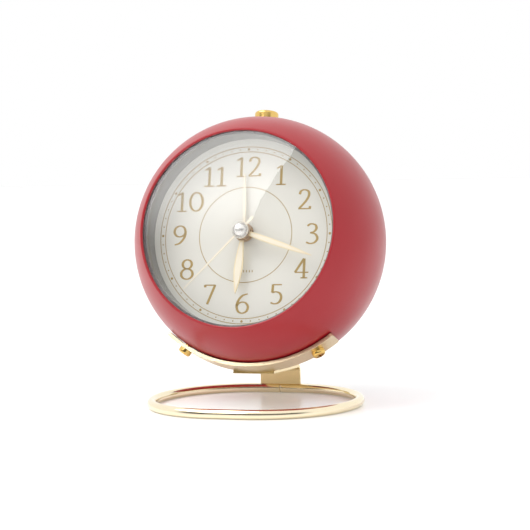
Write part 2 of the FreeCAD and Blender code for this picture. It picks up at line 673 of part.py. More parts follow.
def saddle_screws():
    """Two cross-recessed pan head screws, from outside the strap into the ball."""
    head_seat = SIZE["ball_radius"] + SIZE["strap_gap"] + SIZE["strap_thick"]
    head_top = head_seat + SIZE["saddle_head_height"]
    head = Part.makeCylinder(SIZE["saddle_head_radius"], SIZE["saddle_head_height"], Vector(0, 0, head_seat))
    rim = [edge for edge in head.Edges if abs(edge.CenterOfMass.z - head_top) < 0.01]
    head = head.makeFillet(SIZE["saddle_head_height"] * 0.45, rim)
    length = SIZE["saddle_screw_length"]
    shank = Part.makeCylinder(SIZE["saddle_screw_radius"], length, Vector(0, 0, head_seat - length))
    screw = head.fuse(shank)
    deep = head_top - SIZE["recess_depth"]
    screw = screw.cut(cross(SIZE["recess_width"], SIZE["recess_length"], deep, head_top + 1))
    screws = []
    for side in (-1, 1):
        copy = screw.removeSplitter()
        copy.Placement = strap_placement(side * SIZE["saddle_screw_angle"])
        screws.append(copy)
    return shaped("saddle_screws", Part.makeCompound(screws), FreeCAD.Placement())


def saddle_nuts():
    """Two hexagon nuts inside the ball on the saddle screws."""
    inside = SIZE["ball_radius"] - SIZE["shell_wall"]
    corner_reach = SIZE["nut_flats"] / math.sqrt(3)
    seat = math.sqrt(inside ** 2 - corner_reach ** 2) - SIZE["part_gap"]
    corners = [Vector(corner_reach * math.cos(math.radians(60 * i)),
                      corner_reach * math.sin(math.radians(60 * i)),
                      seat - SIZE["nut_height"]) for i in range(6)]
    nut = Part.Face(Part.makePolygon(corners + corners[:1])).extrude(Vector(0, 0, SIZE["nut_height"]))
    bore = SIZE["saddle_screw_radius"] + SIZE["running_gap"]
    nut = nut.cut(Part.makeCylinder(bore, inside))
    nuts = []
    for side in (-1, 1):
        copy = nut.copy()
        copy.Placement = strap_placement(side * SIZE["saddle_screw_angle"])
        nuts.append(copy)
    return shaped("saddle_nuts", Part.makeCompound(nuts), FreeCAD.Placement())


# ---------------------------------------------------------------- ball and front

def ball_shell():
    """Thin ball with a round front opening, a flat rear rim, a button hole and two screw holes."""
    outside = doc.addObject("Part::Sphere", "ball_outside")
    outside.setExpression("Radius", bound("ball_radius"))
    inside = doc.addObject("Part::Sphere", "ball_inside")
    inside.setExpression("Radius", bound("ball_radius - shell_wall"))
    front = doc.addObject("Part::Cylinder", "ball_front_opening")
    front.setExpression("Radius", bound("front_opening"))
    front.setExpression("Height", bound("2 * ball_radius"))
    rear = doc.addObject("Part::Cylinder", "ball_rear_cut")
    rear.setExpression("Radius", bound("2 * ball_radius"))
    rear.setExpression("Height", bound("ball_radius"))
    rear.setExpression("Placement.Base.z", bound("-rear_plane - ball_radius"))
    button = doc.addObject("Part::Cylinder", "ball_button_hole")
    button.setExpression("Radius", bound("button_radius + 2 * part_gap"))
    button.setExpression("Height", bound("2 * ball_radius"))
    button.Placement = FreeCAD.Placement(Vector(0, 0, 0), FreeCAD.Rotation(Vector(-1, 0, 0), 90))
    cutters = [inside, front, rear, button]
    for side in (-1, 1):
        hole = doc.addObject("Part::Cylinder", "ball_screw_hole")
        hole.setExpression("Radius", bound("saddle_screw_radius + part_gap"))
        hole.setExpression("Height", bound("ball_radius + 5"))
        hole.Placement = clock_placement().inverse() * strap_placement(side * SIZE["saddle_screw_angle"])
        cutters.append(hole)
    tool = doc.addObject("Part::MultiFuse", "ball_cutters")
    tool.Shapes = cutters
    cut = doc.addObject("Part::Cut", "ball_cut")
    cut.Base = outside
    cut.Tool = tool
    doc.recompute()
    rim_height = math.sqrt(SIZE["ball_radius"] ** 2 - SIZE["front_opening"] ** 2)
    fillet = doc.addObject("Part::Fillet", "ball_shell")
    fillet.Base = cut
    rims = []
    for count, edge in enumerate(cut.Shape.Edges, start=1):
        if abs(edge.BoundBox.ZMin - rim_height) < 0.01 and edge.BoundBox.ZLength < 0.01:
            rims.append((count, SIZE["rim_round"], SIZE["rim_round"]))
    fillet.Edges = rims
    in_clock(fillet)
    return keep(fillet, "ball_shell")


def front_stack():
    """Lens, gasket, bezel and dial, one behind the other inside the front rim."""
    lens_back = "(lens_front - lens_thick)"
    gasket_back = "(lens_front - lens_thick - gasket_thick)"
    lens = turned("lens", rectangle("0", lens_back, "stack_radius", "lens_front"))
    gasket_in = "(stack_radius - gasket_width)"
    gasket = turned("lens_gasket", rectangle(gasket_in, gasket_back, "stack_radius", lens_back))
    bezel_in = "(stack_radius - bezel_wall)"
    bezel = turned("inner_bezel", rectangle(bezel_in, "dial_front", "stack_radius", gasket_back))
    dial_hole = "(%s + part_gap)" % BUSHING_OUT
    dial = turned("dial_plate", rectangle(dial_hole, DIAL_BACK, "stack_radius", "dial_front"))
    for piece in (lens, gasket, bezel, dial):
        in_clock(piece)


COVER_SCREWS = [("-screw_x", "screw_y"), ("screw_x", "screw_y"), ("0", "-low_screw_y")]


def mounting_ring():
    """Plate behind the dial with three posts that the rear cover is screwed to."""
    body = new_body("mounting_ring")
    hole = "(%s + part_gap)" % BUSHING_OUT
    turn_profile(body, rectangle(hole, RING_LOW, "stack_radius", DIAL_BACK))
    sketch = new_sketch(body, "XY_Plane", COVER_FRONT)
    for x, y in COVER_SCREWS:
        add_circle(sketch, "post_radius", x, y)
    pad(body, sketch, "%s - %s" % (RING_LOW, COVER_FRONT))
    doc.recompute()
    holes = [("cover_screw_radius + running_gap", x, y) for x, y in COVER_SCREWS]
    cut_holes(body, holes, COVER_FRONT, "cover_screw_length")
    in_clock(body)
    return keep(body, "mounting_ring")


# ---------------------------------------------------------------- movement

CASE_OUTLINE = rectangle("-case_half_width", "-case_bottom", "case_half_width", "case_top")
CASE_INSIDE = rectangle("case_wall - case_half_width", "case_wall - case_bottom",
                        "case_half_width - case_wall", "case_top - case_wall")


def case_box(node, low, height):
    """A rounded rectangular block in the clock's frame."""
    body = new_body(node)
    block = add_box(body, CASE_OUTLINE, low, height)
    round_edges(body, block, along_z, "case_corner")
    doc.recompute()
    return body


def movement_front_case():
    """Front half of the movement's housing, with the tube that the hands' tubes run in."""
    height = "(%s - train_floor)" % RING_LOW
    body = case_box("movement_front_case", "train_floor", height)
    cut_box(body, CASE_INSIDE, "train_floor", "%s - case_wall" % height)
    doc.recompute()
    tube = new_sketch(body, "XY_Plane", "%s - case_wall" % RING_LOW)
    add_circle(tube, BUSHING_OUT)
    pad(body, tube, "dial_front + 3 * part_gap - %s + case_wall" % RING_LOW)
    doc.recompute()
    bores = [(BUSHING_BORE, "0", "0")]
    for axis in (alarm_axis, time_axis):
        bores.append(("setting_shaft_radius + running_gap", repr(axis.x), repr(axis.y)))
    cut_holes(body, bores, "train_floor", "dial_front")
    in_clock(body)
    return keep(body, "movement_front_case")


def train_plate():
    """Plate between the wheels and the battery, with bearing holes and the minute wheel's post."""
    body = case_box("train_plate", TRAIN_LOW, "train_plate_thick")
    post = new_sketch(body, "XY_Plane", TRAIN_LOW)
    add_circle(post, "setting_shaft_radius", repr(minute_axis.x), repr(minute_axis.y))
    pad(body, post, "hour_wheel_low + wheel_thick + part_gap - %s" % TRAIN_LOW)
    doc.recompute()
    small = "second_arbor_radius + running_gap"
    bores = [(small, "0", "0")]
    for axis in (transfer_axis, rotor_axis):
        bores.append((small, repr(axis.x), repr(axis.y)))
    for axis in (alarm_axis, time_axis):
        bores.append(("setting_shaft_radius + running_gap", repr(axis.x), repr(axis.y)))
    cut_holes(body, bores, "%s - 1" % TRAIN_LOW, "train_plate_thick + 2")
    in_clock(body)
    return keep(body, "train_plate")


SLOT = rectangle("slider_x - 1.7", "slider_y - 1.7", "slider_x + 1.7", "slider_y + slider_travel + 1.7")
DOOR_OPENING = rectangle("-door_half_width - 2 * part_gap", "-door_bottom - 2 * part_gap",
                         "door_half_width + 2 * part_gap", "-door_top + 2 * part_gap")


def shaft_holes(radius):
    return [(radius, repr(axis.x), repr(axis.y)) for axis in (alarm_axis, time_axis)]


def movement_back_case():
    """Rear half of the housing, which holds the battery, the board and the buzzer."""
    body = case_box("movement_back_case", "-case_back", "case_back + %s" % TRAIN_LOW)
    depth = "case_back + %s - case_wall" % TRAIN_LOW
    shelf = "(battery_radius - battery_y + 0.5)"
    upper = rectangle("case_wall - case_half_width", "%s + case_wall" % shelf,
                      "case_half_width - case_wall", "case_top - case_wall")
    lower = rectangle("case_wall - case_half_width", "case_wall - case_bottom",
                      "case_half_width - case_wall", shelf)
    for room in (upper, lower):
        cut_box(body, room, "case_wall - case_back", depth)
        doc.recompute()
    for opening in (DOOR_OPENING, SLOT):
        cut_box(body, opening, "-case_back - 1", "case_wall + 2")
        doc.recompute()
    cut_holes(body, shaft_holes("setting_shaft_radius + 3 * part_gap"), "-case_back - 1", "case_wall + 2")
    in_clock(body)
    return keep(body, "movement_back_case")


def minute_wheel():
    """Wheel and pinion that carry the minute hand's motion to the hour hand and the setting knob."""
    low = SIZE["minute_wheel_low"]
    high = low + SIZE["wheel_thick"]
    wheel = gear_shape(MINUTE_WHEEL_TEETH, minute_module, minute_wheel_phase, low, high)
    pinion_high = SIZE["hour_wheel_low"] + SIZE["wheel_thick"]
    pinion = gear_shape(MINUTE_PINION_TEETH, hour_module, minute_wheel_phase, high, pinion_high)
    bore = Part.makeCylinder(SIZE["setting_shaft_radius"] + SIZE["running_gap"], pinion_high)
    return shaped("minute_wheel", wheel.fuse(pinion).cut(bore), at(minute_axis))


def cannon_pinion():
    """Minute hand's tube with its pinion."""
    low = SIZE["minute_wheel_low"]
    pinion = gear_shape(CANNON_TEETH, minute_module, cannon_phase, low, low + SIZE["wheel_thick"])
    tube = tube_shape(0, minute_out, low, hand_top("minute"))
    bore = Part.makeCylinder(minute_bore, 2 * dial_front)
    return shaped("cannon_pinion", pinion.fuse(tube).cut(bore), at(centre))


def hour_wheel():
    """Hour hand's tube with its wheel."""
    low = SIZE["hour_wheel_low"]
    wheel = gear_shape(HOUR_WHEEL_TEETH, hour_module, hour_wheel_phase, low, low + SIZE["wheel_thick"])
    tube = tube_shape(0, hour_out, low, hand_top("hour"))
    bore = Part.makeCylinder(hour_bore, 2 * dial_front)
    return shaped("hour_wheel", wheel.fuse(tube).cut(bore), at(centre))


def alarm_wheel():
    """Alarm hand's tube with its wheel."""
    low = SIZE["alarm_wheel_low"]
    wheel = gear_shape(ALARM_WHEEL_TEETH, alarm_module, 0, low, low + SIZE["wheel_thick"])
    tube = tube_shape(0, alarm_out, low, hand_top("alarm"))
    bore = Part.makeCylinder(alarm_bore, 2 * dial_front)
    return shaped("alarm_wheel", wheel.fuse(tube).cut(bore), at(centre))


def second_wheel():
    """Second hand's arbor with its wheel."""
    low = SIZE["second_wheel_low"]
    wheel = gear_shape(SECOND_WHEEL_TEETH, train_module, 0, low, low + SIZE["thin_wheel_thick"])
    foot = SIZE["train_floor"] - SIZE["train_plate_thick"] / 2
    arbor = tube_shape(0, SIZE["second_arbor_radius"], foot, hand_top("second"))
    return shaped("second_wheel", wheel.fuse(arbor), at(centre))


def transfer_wheel():
    """Wheel between the motor and the second wheel."""
    low = SIZE["transfer_wheel_low"]
    wheel = gear_shape(TRANSFER_WHEEL_TEETH, train_module, transfer_pinion_phase, low,
                       low + SIZE["thin_wheel_thick"])
    pinion = gear_shape(TRANSFER_PINION_TEETH, train_module, transfer_pinion_phase,
                        SIZE["second_wheel_low"] - SIZE["part_gap"], low)
    foot = SIZE["train_floor"] - SIZE["train_plate_thick"] / 2
    arbor = tube_shape(0, SIZE["second_arbor_radius"], foot, low + 2 * SIZE["thin_wheel_thick"])
    return shaped("transfer_wheel", wheel.fuse(pinion).fuse(arbor), at(transfer_axis))


def rotor():
    """The motor's magnet with its pinion."""
    magnet = tube_shape(0, SIZE["magnet_radius"], SIZE["magnet_low"], SIZE["magnet_high"])
    low = SIZE["transfer_wheel_low"]
    high = low + SIZE["thin_wheel_thick"]
    pinion = gear_shape(ROTOR_TEETH, train_module, rotor_phase, SIZE["magnet_high"], high + SIZE["part_gap"])
    foot = SIZE["train_floor"] - SIZE["train_plate_thick"] / 2
    arbor = tube_shape(0, SIZE["second_arbor_radius"], foot, high + SIZE["part_gap"])
    return shaped("rotor", magnet.fuse(pinion).fuse(arbor), at(rotor_axis))


def motor():
    """Stator plate round the rotor, closed by the coil's core, and the coil."""
    left = rotor_axis.x - SIZE["stator_margin"]
    length = SIZE["stator_length"]
    low = SIZE["stator_low"]
    thick = SIZE["stator_thick"]
    leg = SIZE["stator_leg"]
    wide = SIZE["stator_width"]
    coil_y = rotor_axis.y - SIZE["coil_distance"]
    coil_radius = SIZE["coil_radius"]
    core = SIZE["core_width"]
    plate = Part.makeBox(length, wide, thick, Vector(left, rotor_axis.y - wide / 2, low))
    for start in (left, left + length - leg):
        foot = Vector(start, coil_y - core / 2, low)
        plate = plate.fuse(Part.makeBox(leg, SIZE["coil_distance"], thick, foot))
    plate = plate.fuse(Part.makeBox(length, core, thick, Vector(left, coil_y - core / 2, low)))
    hole = SIZE["magnet_radius"] + 4 * SIZE["part_gap"]
    plate = plate.cut(Part.makeCylinder(hole, thick, Vector(rotor_axis.x, rotor_axis.y, low)))
    shaped("stator", plate.removeSplitter(), clock_placement())
    gap = SIZE["part_gap"]
    coil_length = length - 2 * leg - 8 * gap
    coil = Part.makeCylinder(coil_radius, coil_length, Vector(left + leg + 4 * gap, coil_y, low + thick / 2),
                             Vector(1, 0, 0))
    bore = Part.makeBox(
        length, core + gap, thick + gap, Vector(left, coil_y - (core + gap) / 2, low - gap / 2))
    shaped("motor_coil", coil.cut(bore), clock_placement())


# ---------------------------------------------------------------- hands

def blade(points, low, high):
    """A flat blade that tapers along Y: smooth sides through (reach, half width) points."""
    right = [Vector(half, reach, low) for reach, half in points]
    left = [Vector(-half, reach, low) for reach, half in reversed(points)]
    edges = []
    for side in (right, left):
        curve = Part.BSplineCurve()
        curve.interpolate(side)
        edges.append(curve.toShape())
    edges.insert(1, Part.LineSegment(right[-1], left[0]).toShape())
    edges.append(Part.LineSegment(left[-1], right[0]).toShape())
    return Part.Face(Part.Wire(edges)).extrude(Vector(0, 0, high - low))


def hand_placement(name):
    turn = FreeCAD.Rotation(Vector(0, 0, 1), -SIZE[name + "_hand_angle"])
    return clock_placement() * FreeCAD.Placement(Vector(0, 0, 0), turn)


def hand(name, blades, bore):
    """A hand lying along Y with a hub disc, turned to its place on the dial."""
    low = dial_front + SIZE[name + "_hand_level"]
    high = low + hand_thick
    shape = Part.makeCylinder(SIZE["hub_radius"], hand_thick, Vector(0, 0, low))
    for points in blades:
        shape = shape.fuse(blade(points, low, high))
    shape = shape.cut(Part.makeCylinder(bore, 1, Vector(0, 0, low - 0.3)))
    return shaped(name + "_hand", shape, hand_placement(name))


def inlay(name, points):
    """The cream field laid on a hand inside its gilt edge."""
    low = dial_front + SIZE[name + "_hand_level"] + hand_thick
    shape = blade(points, low, low + SIZE["inlay_thick"])
    return shaped(name + "_hand_inlay", shape, hand_placement(name))


def hands():
    hour = SIZE["hour_hand_length"]
    minute = SIZE["minute_hand_length"]
    second = SIZE["second_hand_length"]
    alarm = SIZE["alarm_hand_length"]
    hub = SIZE["hub_radius"]
    hand("alarm", [[(hub * 0.8, 0.35), (alarm * 0.5, 0.6), (alarm, 0.15)]], alarm_out)
    hand("hour", [[(hub * 0.8, 0.75), (hour * 0.3, 1.2), (hour * 0.58, 1.75), (hour * 0.8, 1.2),
                   (hour, 0.12)]],
         hour_out)
    inlay("hour", [(hub * 1.5, 0.4), (hour * 0.3, 0.8), (hour * 0.58, 1.3), (hour * 0.78, 0.85),
                   (hour * 0.92, 0.1)])
    hand("minute", [[(hub * 0.8, 0.8), (minute * 0.35, 1.1), (minute * 0.6, 1.0), (minute, 0.12)]],
         minute_out)
    inlay("minute", [(hub * 1.5, 0.5), (minute * 0.35, 0.75), (minute * 0.6, 0.62), (minute * 0.93, 0.08)])
    tail = SIZE["second_hand_tail"]
    hand("second", [[(hub * 0.8, 0.35), (second * 0.5, 0.28), (second, 0.1)],
                    [(-tail, 0.55), (-tail * 0.6, 0.5), (-hub * 0.8, 0.4)]], SIZE["second_arbor_radius"])


def hand_cap():
    """Domed cap pressed on the second hand's arbor."""
    radius = SIZE["cap_radius"]
    height = SIZE["cap_height"]
    curve = (radius ** 2 + height ** 2) / (2 * height)
    low = hand_top("second")
    dome = Part.makeSphere(curve, Vector(0, 0, low + height - curve))
    dome = dome.common(Part.makeCylinder(radius, height, Vector(0, 0, low)))
    return shaped("hand_cap", dome, at(centre))


# ---------------------------------------------------------------- electrics

def battery():
    """AA cell lying across the movement between its two contacts."""
    length = SIZE["battery_length"]
    nub = SIZE["nub_height"]
    along = FreeCAD.Rotation(Vector(0, 1, 0), 90)
    place = clock_placement() * FreeCAD.Placement(
        Vector(-length / 2, -SIZE["battery_y"], -SIZE["battery_z"]), along)
    can = Part.makeCylinder(SIZE["battery_radius"], length - nub)
    can = can.makeFillet(SIZE["cell_round"], [edge for edge in can.Edges if len(edge.Vertexes) == 1])
    can = can.fuse(Part.makeCylinder(SIZE["nub_radius"], nub, Vector(0, 0, length - nub)))
    shaped("battery_cell", can, place)
    room = SIZE["case_half_width"] - SIZE["case_wall"]
    thick = SIZE["contact_thick"]
    wide = SIZE["contact_width"]
    free = room - length / 2
    plate = Part.makeBox(wide, wide, thick, Vector(-wide / 2, -wide / 2, length))
    stop = Part.makeBox(wide / 2, wide / 2, free - thick, Vector(-wide / 4, -wide / 4, length + thick))
    shaped("battery_plus_contact", plate.fuse(stop), place)
    spring = coil_spring(SIZE["contact_spring_radius"], SIZE["contact_wire"], free - 9 * SIZE["part_gap"],
                         SIZE["contact_turns"], -SIZE["contact_taper"])
    spring.translate(Vector(0, 0, -free + thick + SIZE["contact_wire"] / 2))
    backing = Part.makeBox(wide, wide, thick, Vector(-wide / 2, -wide / 2, -free))
    shaped("battery_spring_contact", spring.fuse(backing), place)


def circuit_board():
    """Board behind the train plate, with the chip's dome and the quartz can on it, and the buzzer."""
    place = clock_placement()
    top = SIZE["train_floor"] - SIZE["train_plate_thick"] - SIZE["board_gap"]
    low = top - SIZE["board_thick"]
    wide = SIZE["board_width"]
    bottom = SIZE["board_bottom"]
    board = Part.makeBox(wide, SIZE["board_height"], SIZE["board_thick"], Vector(-wide / 2, -bottom, low))
    shaped("circuit_board", board, place)
    curve = SIZE["chip_curve"]
    middle = Vector(-SIZE["chip_x"], SIZE["chip_y"], low + curve - SIZE["chip_height"])
    dome = Part.makeSphere(curve, middle)
    below = block(2 * curve, 2 * curve, low - 2 * curve, low, middle.x, middle.y)
    shaped("control_chip", dome.common(below), place)
    radius = SIZE["quartz_radius"]
    start = Vector(SIZE["quartz_x"], SIZE["quartz_y"], low - radius)
    quartz = Part.makeCylinder(radius, SIZE["quartz_length"], start, Vector(1, 0, 0))
    shaped("quartz_crystal", quartz, place)
    floor = SIZE["case_wall"] - SIZE["case_back"]
    seat = Vector(-SIZE["buzzer_x"], SIZE["buzzer_y"], floor)
    height = SIZE["buzzer_height"]
    can = Part.makeCylinder(SIZE["buzzer_radius"], height, seat)
    mouth = Part.makeCylinder(SIZE["buzzer_mouth"], height, seat + Vector(0, 0, height / 2))
    shaped("buzzer", can.cut(mouth), place)


# ---------------------------------------------------------------- rear

def rear_cover():
    """Dished cover that closes the ball behind, with the knobs and the battery door in its recess."""
    body = new_body("rear_cover")
    slope = "cover_thick"
    turn_profile(body, [
        ("0", COVER_FRONT),
        ("cover_floor_radius + %s" % slope, COVER_FRONT),
        ("cover_mouth_radius + %s" % slope, "-rear_plane"),
        ("sqrt(ball_radius ^ 2 - rear_plane ^ 2)", "-rear_plane"),
        ("sqrt(ball_radius ^ 2 - rear_plane ^ 2) - 0.6", "-rear_plane - cover_rim_thick"),
        ("cover_mouth_radius", "-rear_plane - cover_rim_thick"),
        ("cover_floor_radius", COVER_BACK),
        ("0", COVER_BACK),
    ])
    doc.recompute()
    for opening in (DOOR_OPENING, SLOT):
        cut_box(body, opening, "%s - 1" % COVER_BACK, "cover_thick + 2")
        doc.recompute()
    holes = shaft_holes("setting_shaft_radius + 3 * part_gap")
    holes += [("cover_screw_radius + part_gap", x, y) for x, y in COVER_SCREWS]
    cut_holes(body, holes, "%s - 1" % COVER_BACK, "cover_thick + 2")
    in_clock(body)
    return keep(body, "rear_cover")


def rear_cover_screws():
    """Three pan head screws from the rear cover into the mounting ring's posts."""
    seat = number(COVER_BACK)
    back = seat - SIZE["cover_head_height"]
    head = Part.makeCylinder(SIZE["cover_head_radius"], SIZE["cover_head_height"], Vector(0, 0, back))
    rim = [edge for edge in head.Edges if abs(edge.CenterOfMass.z - back) < 0.01]
    head = head.makeFillet(SIZE["cover_head_round"], rim)
    shank = Part.makeCylinder(SIZE["cover_screw_radius"], SIZE["cover_screw_length"], Vector(0, 0, seat))
    screw = head.fuse(shank)
    deep = back + SIZE["cover_recess_depth"]
    screw = screw.cut(cross(SIZE["cover_recess_width"], SIZE["cover_recess_length"], back - 1, deep))
    side = SIZE["screw_x"]
    places = [(-side, SIZE["screw_y"]), (side, SIZE["screw_y"]), (0, -SIZE["low_screw_y"])]
    screws = []
    for x, y in places:
        copy = screw.copy()
        copy.translate(Vector(x, y, 0))
        screws.append(copy)
    return shaped("rear_cover_screws", Part.makeCompound(screws), clock_placement())


def setting_knob(node, axis, module, phase, level):
    """A grooved knob behind the cover, on a shaft that ends in a pinion."""
    back = number(COVER_BACK) - SIZE["knob_gap"]
    height = SIZE["knob_height"]
    radius = SIZE["knob_radius"]
    grip = Part.makeCylinder(radius, height, Vector(0, 0, back - height))
    grip = grip.makeFillet(SIZE["knob_round"], [edge for edge in grip.Edges if len(edge.Vertexes) == 1])
    start = Vector(radius, 0, back - height + SIZE["groove_start"])
    groove = Part.makeCylinder(SIZE["groove_radius"], height, start)
    count = int(SIZE["groove_count"])
    for i in range(count):
        cutter = groove.copy()
        cutter.rotate(Vector(0, 0, 0), Vector(0, 0, 1), 360 / count * i)
        grip = grip.cut(cutter)
    front = number(RING_LOW)
    shaft = Part.makeCylinder(SIZE["setting_shaft_radius"], front - back, Vector(0, 0, back))
    pinion = gear_shape(SETTING_TEETH, module, phase, level, level + SIZE["wheel_thick"])
    return shaped(node, grip.fuse(shaft).fuse(pinion), at(axis))


def alarm_switch():
    """Slider that turns the alarm on and off, captive in the cover's slot."""
    gap = SIZE["part_gap"]
    seat = number(COVER_BACK) - gap
    inner = SIZE["case_wall"] - SIZE["case_back"]
    x = SIZE["slider_x"]
    y = SIZE["slider_y"]
    back = seat - SIZE["thumb_height"]
    wide = SIZE["thumb_width"]
    thumb = block(wide, SIZE["thumb_length"], back, seat, x, y)
    bevel = [edge for edge in thumb.Edges if edge.CenterOfMass.z < back + gap]
    thumb = thumb.makeChamfer(SIZE["thumb_bevel"], bevel)
    line = SIZE["thumb_line"]
    for i in (-1, 0, 1):
        thumb = thumb.cut(block(2 * wide, line, back, back + line, x, y + i * SIZE["thumb_pitch"]))
    neck_side = SIZE["neck_side"]
    neck = block(neck_side, neck_side, seat, inner + gap, x, y)
    shoe = block(
        SIZE["shoe_width"], SIZE["thumb_length"], inner + gap, inner + gap + SIZE["shoe_thick"], x, y)
    return shaped("alarm_switch", thumb.fuse(neck).fuse(shoe), clock_placement())


def battery_door():
    """Door hinged at its lower edge, with a finger catch at its upper edge."""
    back = number(COVER_BACK)
    half = SIZE["door_half_width"]
    low = -SIZE["door_bottom"]
    high = -SIZE["door_top"]
    door = Part.makeBox(2 * half, high - low, SIZE["cover_thick"], Vector(-half, low, back))
    deep = SIZE["catch_depth"]
    catch = block(
        SIZE["catch_width"], SIZE["catch_height"], back - deep, back, 0, high - SIZE["catch_inset"])
    bevel = [edge for edge in catch.Edges if edge.CenterOfMass.z < back - deep + SIZE["part_gap"]]
    catch = catch.makeChamfer(SIZE["catch_bevel"], bevel)
    radius = SIZE["hinge_radius"]
    length = SIZE["knuckle_length"]
    inset = SIZE["knuckle_inset"]
    knuckles = []
    for start in (inset - half, half - inset - length):
        knuckles.append(Part.makeCylinder(
            radius, length, Vector(start, low + radius, back), Vector(1, 0, 0)))
    shape = door.fuse([catch] + knuckles)
    return shaped("battery_door", shape.removeSplitter(), clock_placement())


# ---------------------------------------------------------------- button on top

def button():
    """Round push button with a stop flange inside the ball and a stem."""
    body = new_body("snooze_button")
    feature = turn_profile(body, [
        ("0", "stem_end"),
        ("stem_radius", "stem_end"),
        ("stem_radius", "flange_top - flange_thick"),
        ("flange_radius", "flange_top - flange_thick"),
        ("flange_radius", "flange_top"),
        ("button_radius", "flange_top"),
        ("button_radius", "button_top"),
        ("0", "button_top"),
    ])
    top = SIZE["button_top"]
    radius = SIZE["button_radius"]

    def rim(edge, middle):
        level = abs(middle.z - top) < 0.01
        return level and abs(math.hypot(middle.x, middle.y) - radius) < 0.01
    round_edges(body, feature, rim, "button_round")
    on_top(body)
    return keep(body, "snooze_button")


def button_place():
    turn = FreeCAD.Rotation(Vector(-1, 0, 0), SIZE["dial_lean"])
    return FreeCAD.Placement(Vector(0, SIZE["ball_back"], SIZE["ball_height"]), turn)


def button_holder():
    """Cup fixed under the top of the ball, which guides the button and holds its switch."""
    bore = SIZE["flange_radius"] + 3 * SIZE["part_gap"]
    outer = bore + SIZE["holder_wall"]
    end = SIZE["holder_end"]
    cup = Part.makeCylinder(outer, SIZE["ball_radius"] - end, Vector(0, 0, end))
    cup = cup.common(Part.makeSphere(SIZE["ball_radius"] - SIZE["shell_wall"]))
    floor = SIZE["holder_floor"]
    floor_top = floor + SIZE["holder_floor_thick"]
    cup = cup.cut(Part.makeCylinder(bore, SIZE["ball_radius"], Vector(0, 0, floor_top)))
    cup = cup.cut(Part.makeCylinder(bore, floor - end + 1, Vector(0, 0, end - 1)))
    cup = cup.cut(Part.makeCylinder(SIZE["stem_radius"] + SIZE["part_gap"], SIZE["ball_radius"]))
    return shaped("button_holder", cup, button_place())


def button_spring():
    """Compression spring between the holder's floor and the button's flange."""
    wire = SIZE["spring_wire"]
    low = SIZE["holder_floor"] + SIZE["holder_floor_thick"] + wire + SIZE["part_gap"]
    high = SIZE["flange_top"] - SIZE["flange_thick"] - wire - SIZE["part_gap"]
    spring = coil_spring(
        SIZE["spring_radius"], wire, high - low, SIZE["spring_turns"], -SIZE["spring_taper"])
    spring.translate(Vector(0, 0, low))
    return shaped("button_spring", spring, button_place())


def button_switch():
    """Small board with the switch that the button presses."""
    end = SIZE["holder_end"]
    radius = SIZE["flange_radius"] + 2 * SIZE["part_gap"]
    thick = SIZE["board_thick"]
    shaped("switch_board", Part.makeCylinder(radius, thick, Vector(0, 0, end)), button_place())
    side = SIZE["switch_side"]
    base = end + thick
    box = block(side, side, base, base + SIZE["switch_height"], 0, 0)
    plunger_top = SIZE["stem_end"] - SIZE["button_travel"] - SIZE["part_gap"]
    plunger = Part.makeCylinder(SIZE["plunger_radius"], plunger_top - base, Vector(0, 0, base))
    shaped("button_switch", box.fuse(plunger), button_place())


# ---------------------------------------------------------------- build and write

base_ring()
support_plate()
saddle_strap()
saddle_screws()
saddle_nuts()
ball_shell()
front_stack()
mounting_ring()
movement_front_case()
train_plate()
movement_back_case()
second_wheel()
transfer_wheel()
rotor()
motor()
cannon_pinion()
minute_wheel()
hour_wheel()
alarm_wheel()
hands()
hand_cap()
battery()
circuit_board()
rear_cover()
rear_cover_screws()
setting_knob("time_set_knob", time_axis, minute_module, time_pinion_phase, SIZE["minute_wheel_low"])
setting_knob("alarm_set_knob", alarm_axis, alarm_module, alarm_pinion_phase, SIZE["alarm_wheel_low"])
alarm_switch()
battery_door()
button()
button_holder()
button_spring()
button_switch()

doc.recompute()
for item in doc.Objects:
    if "Invalid" in item.State or "Error" in item.State:
        raise RuntimeError("failed: " + item.Name)
for piece in finished:
    if piece.Shape.isNull() or not piece.Shape.isValid():
        raise RuntimeError("bad shape: " + piece.Label)

os.makedirs("parts", exist_ok=True)
for piece in finished:
    piece.Shape.exportStep("parts/%s.step" % piece.Label)
    print("%-26s %2d solids %10.1f mm3" % (piece.Label, len(piece.Shape.Solids), piece.Shape.Volume))
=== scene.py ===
import json
import math
import bpy
import bmesh
import numpy as np
from mathutils import Matrix, Vector

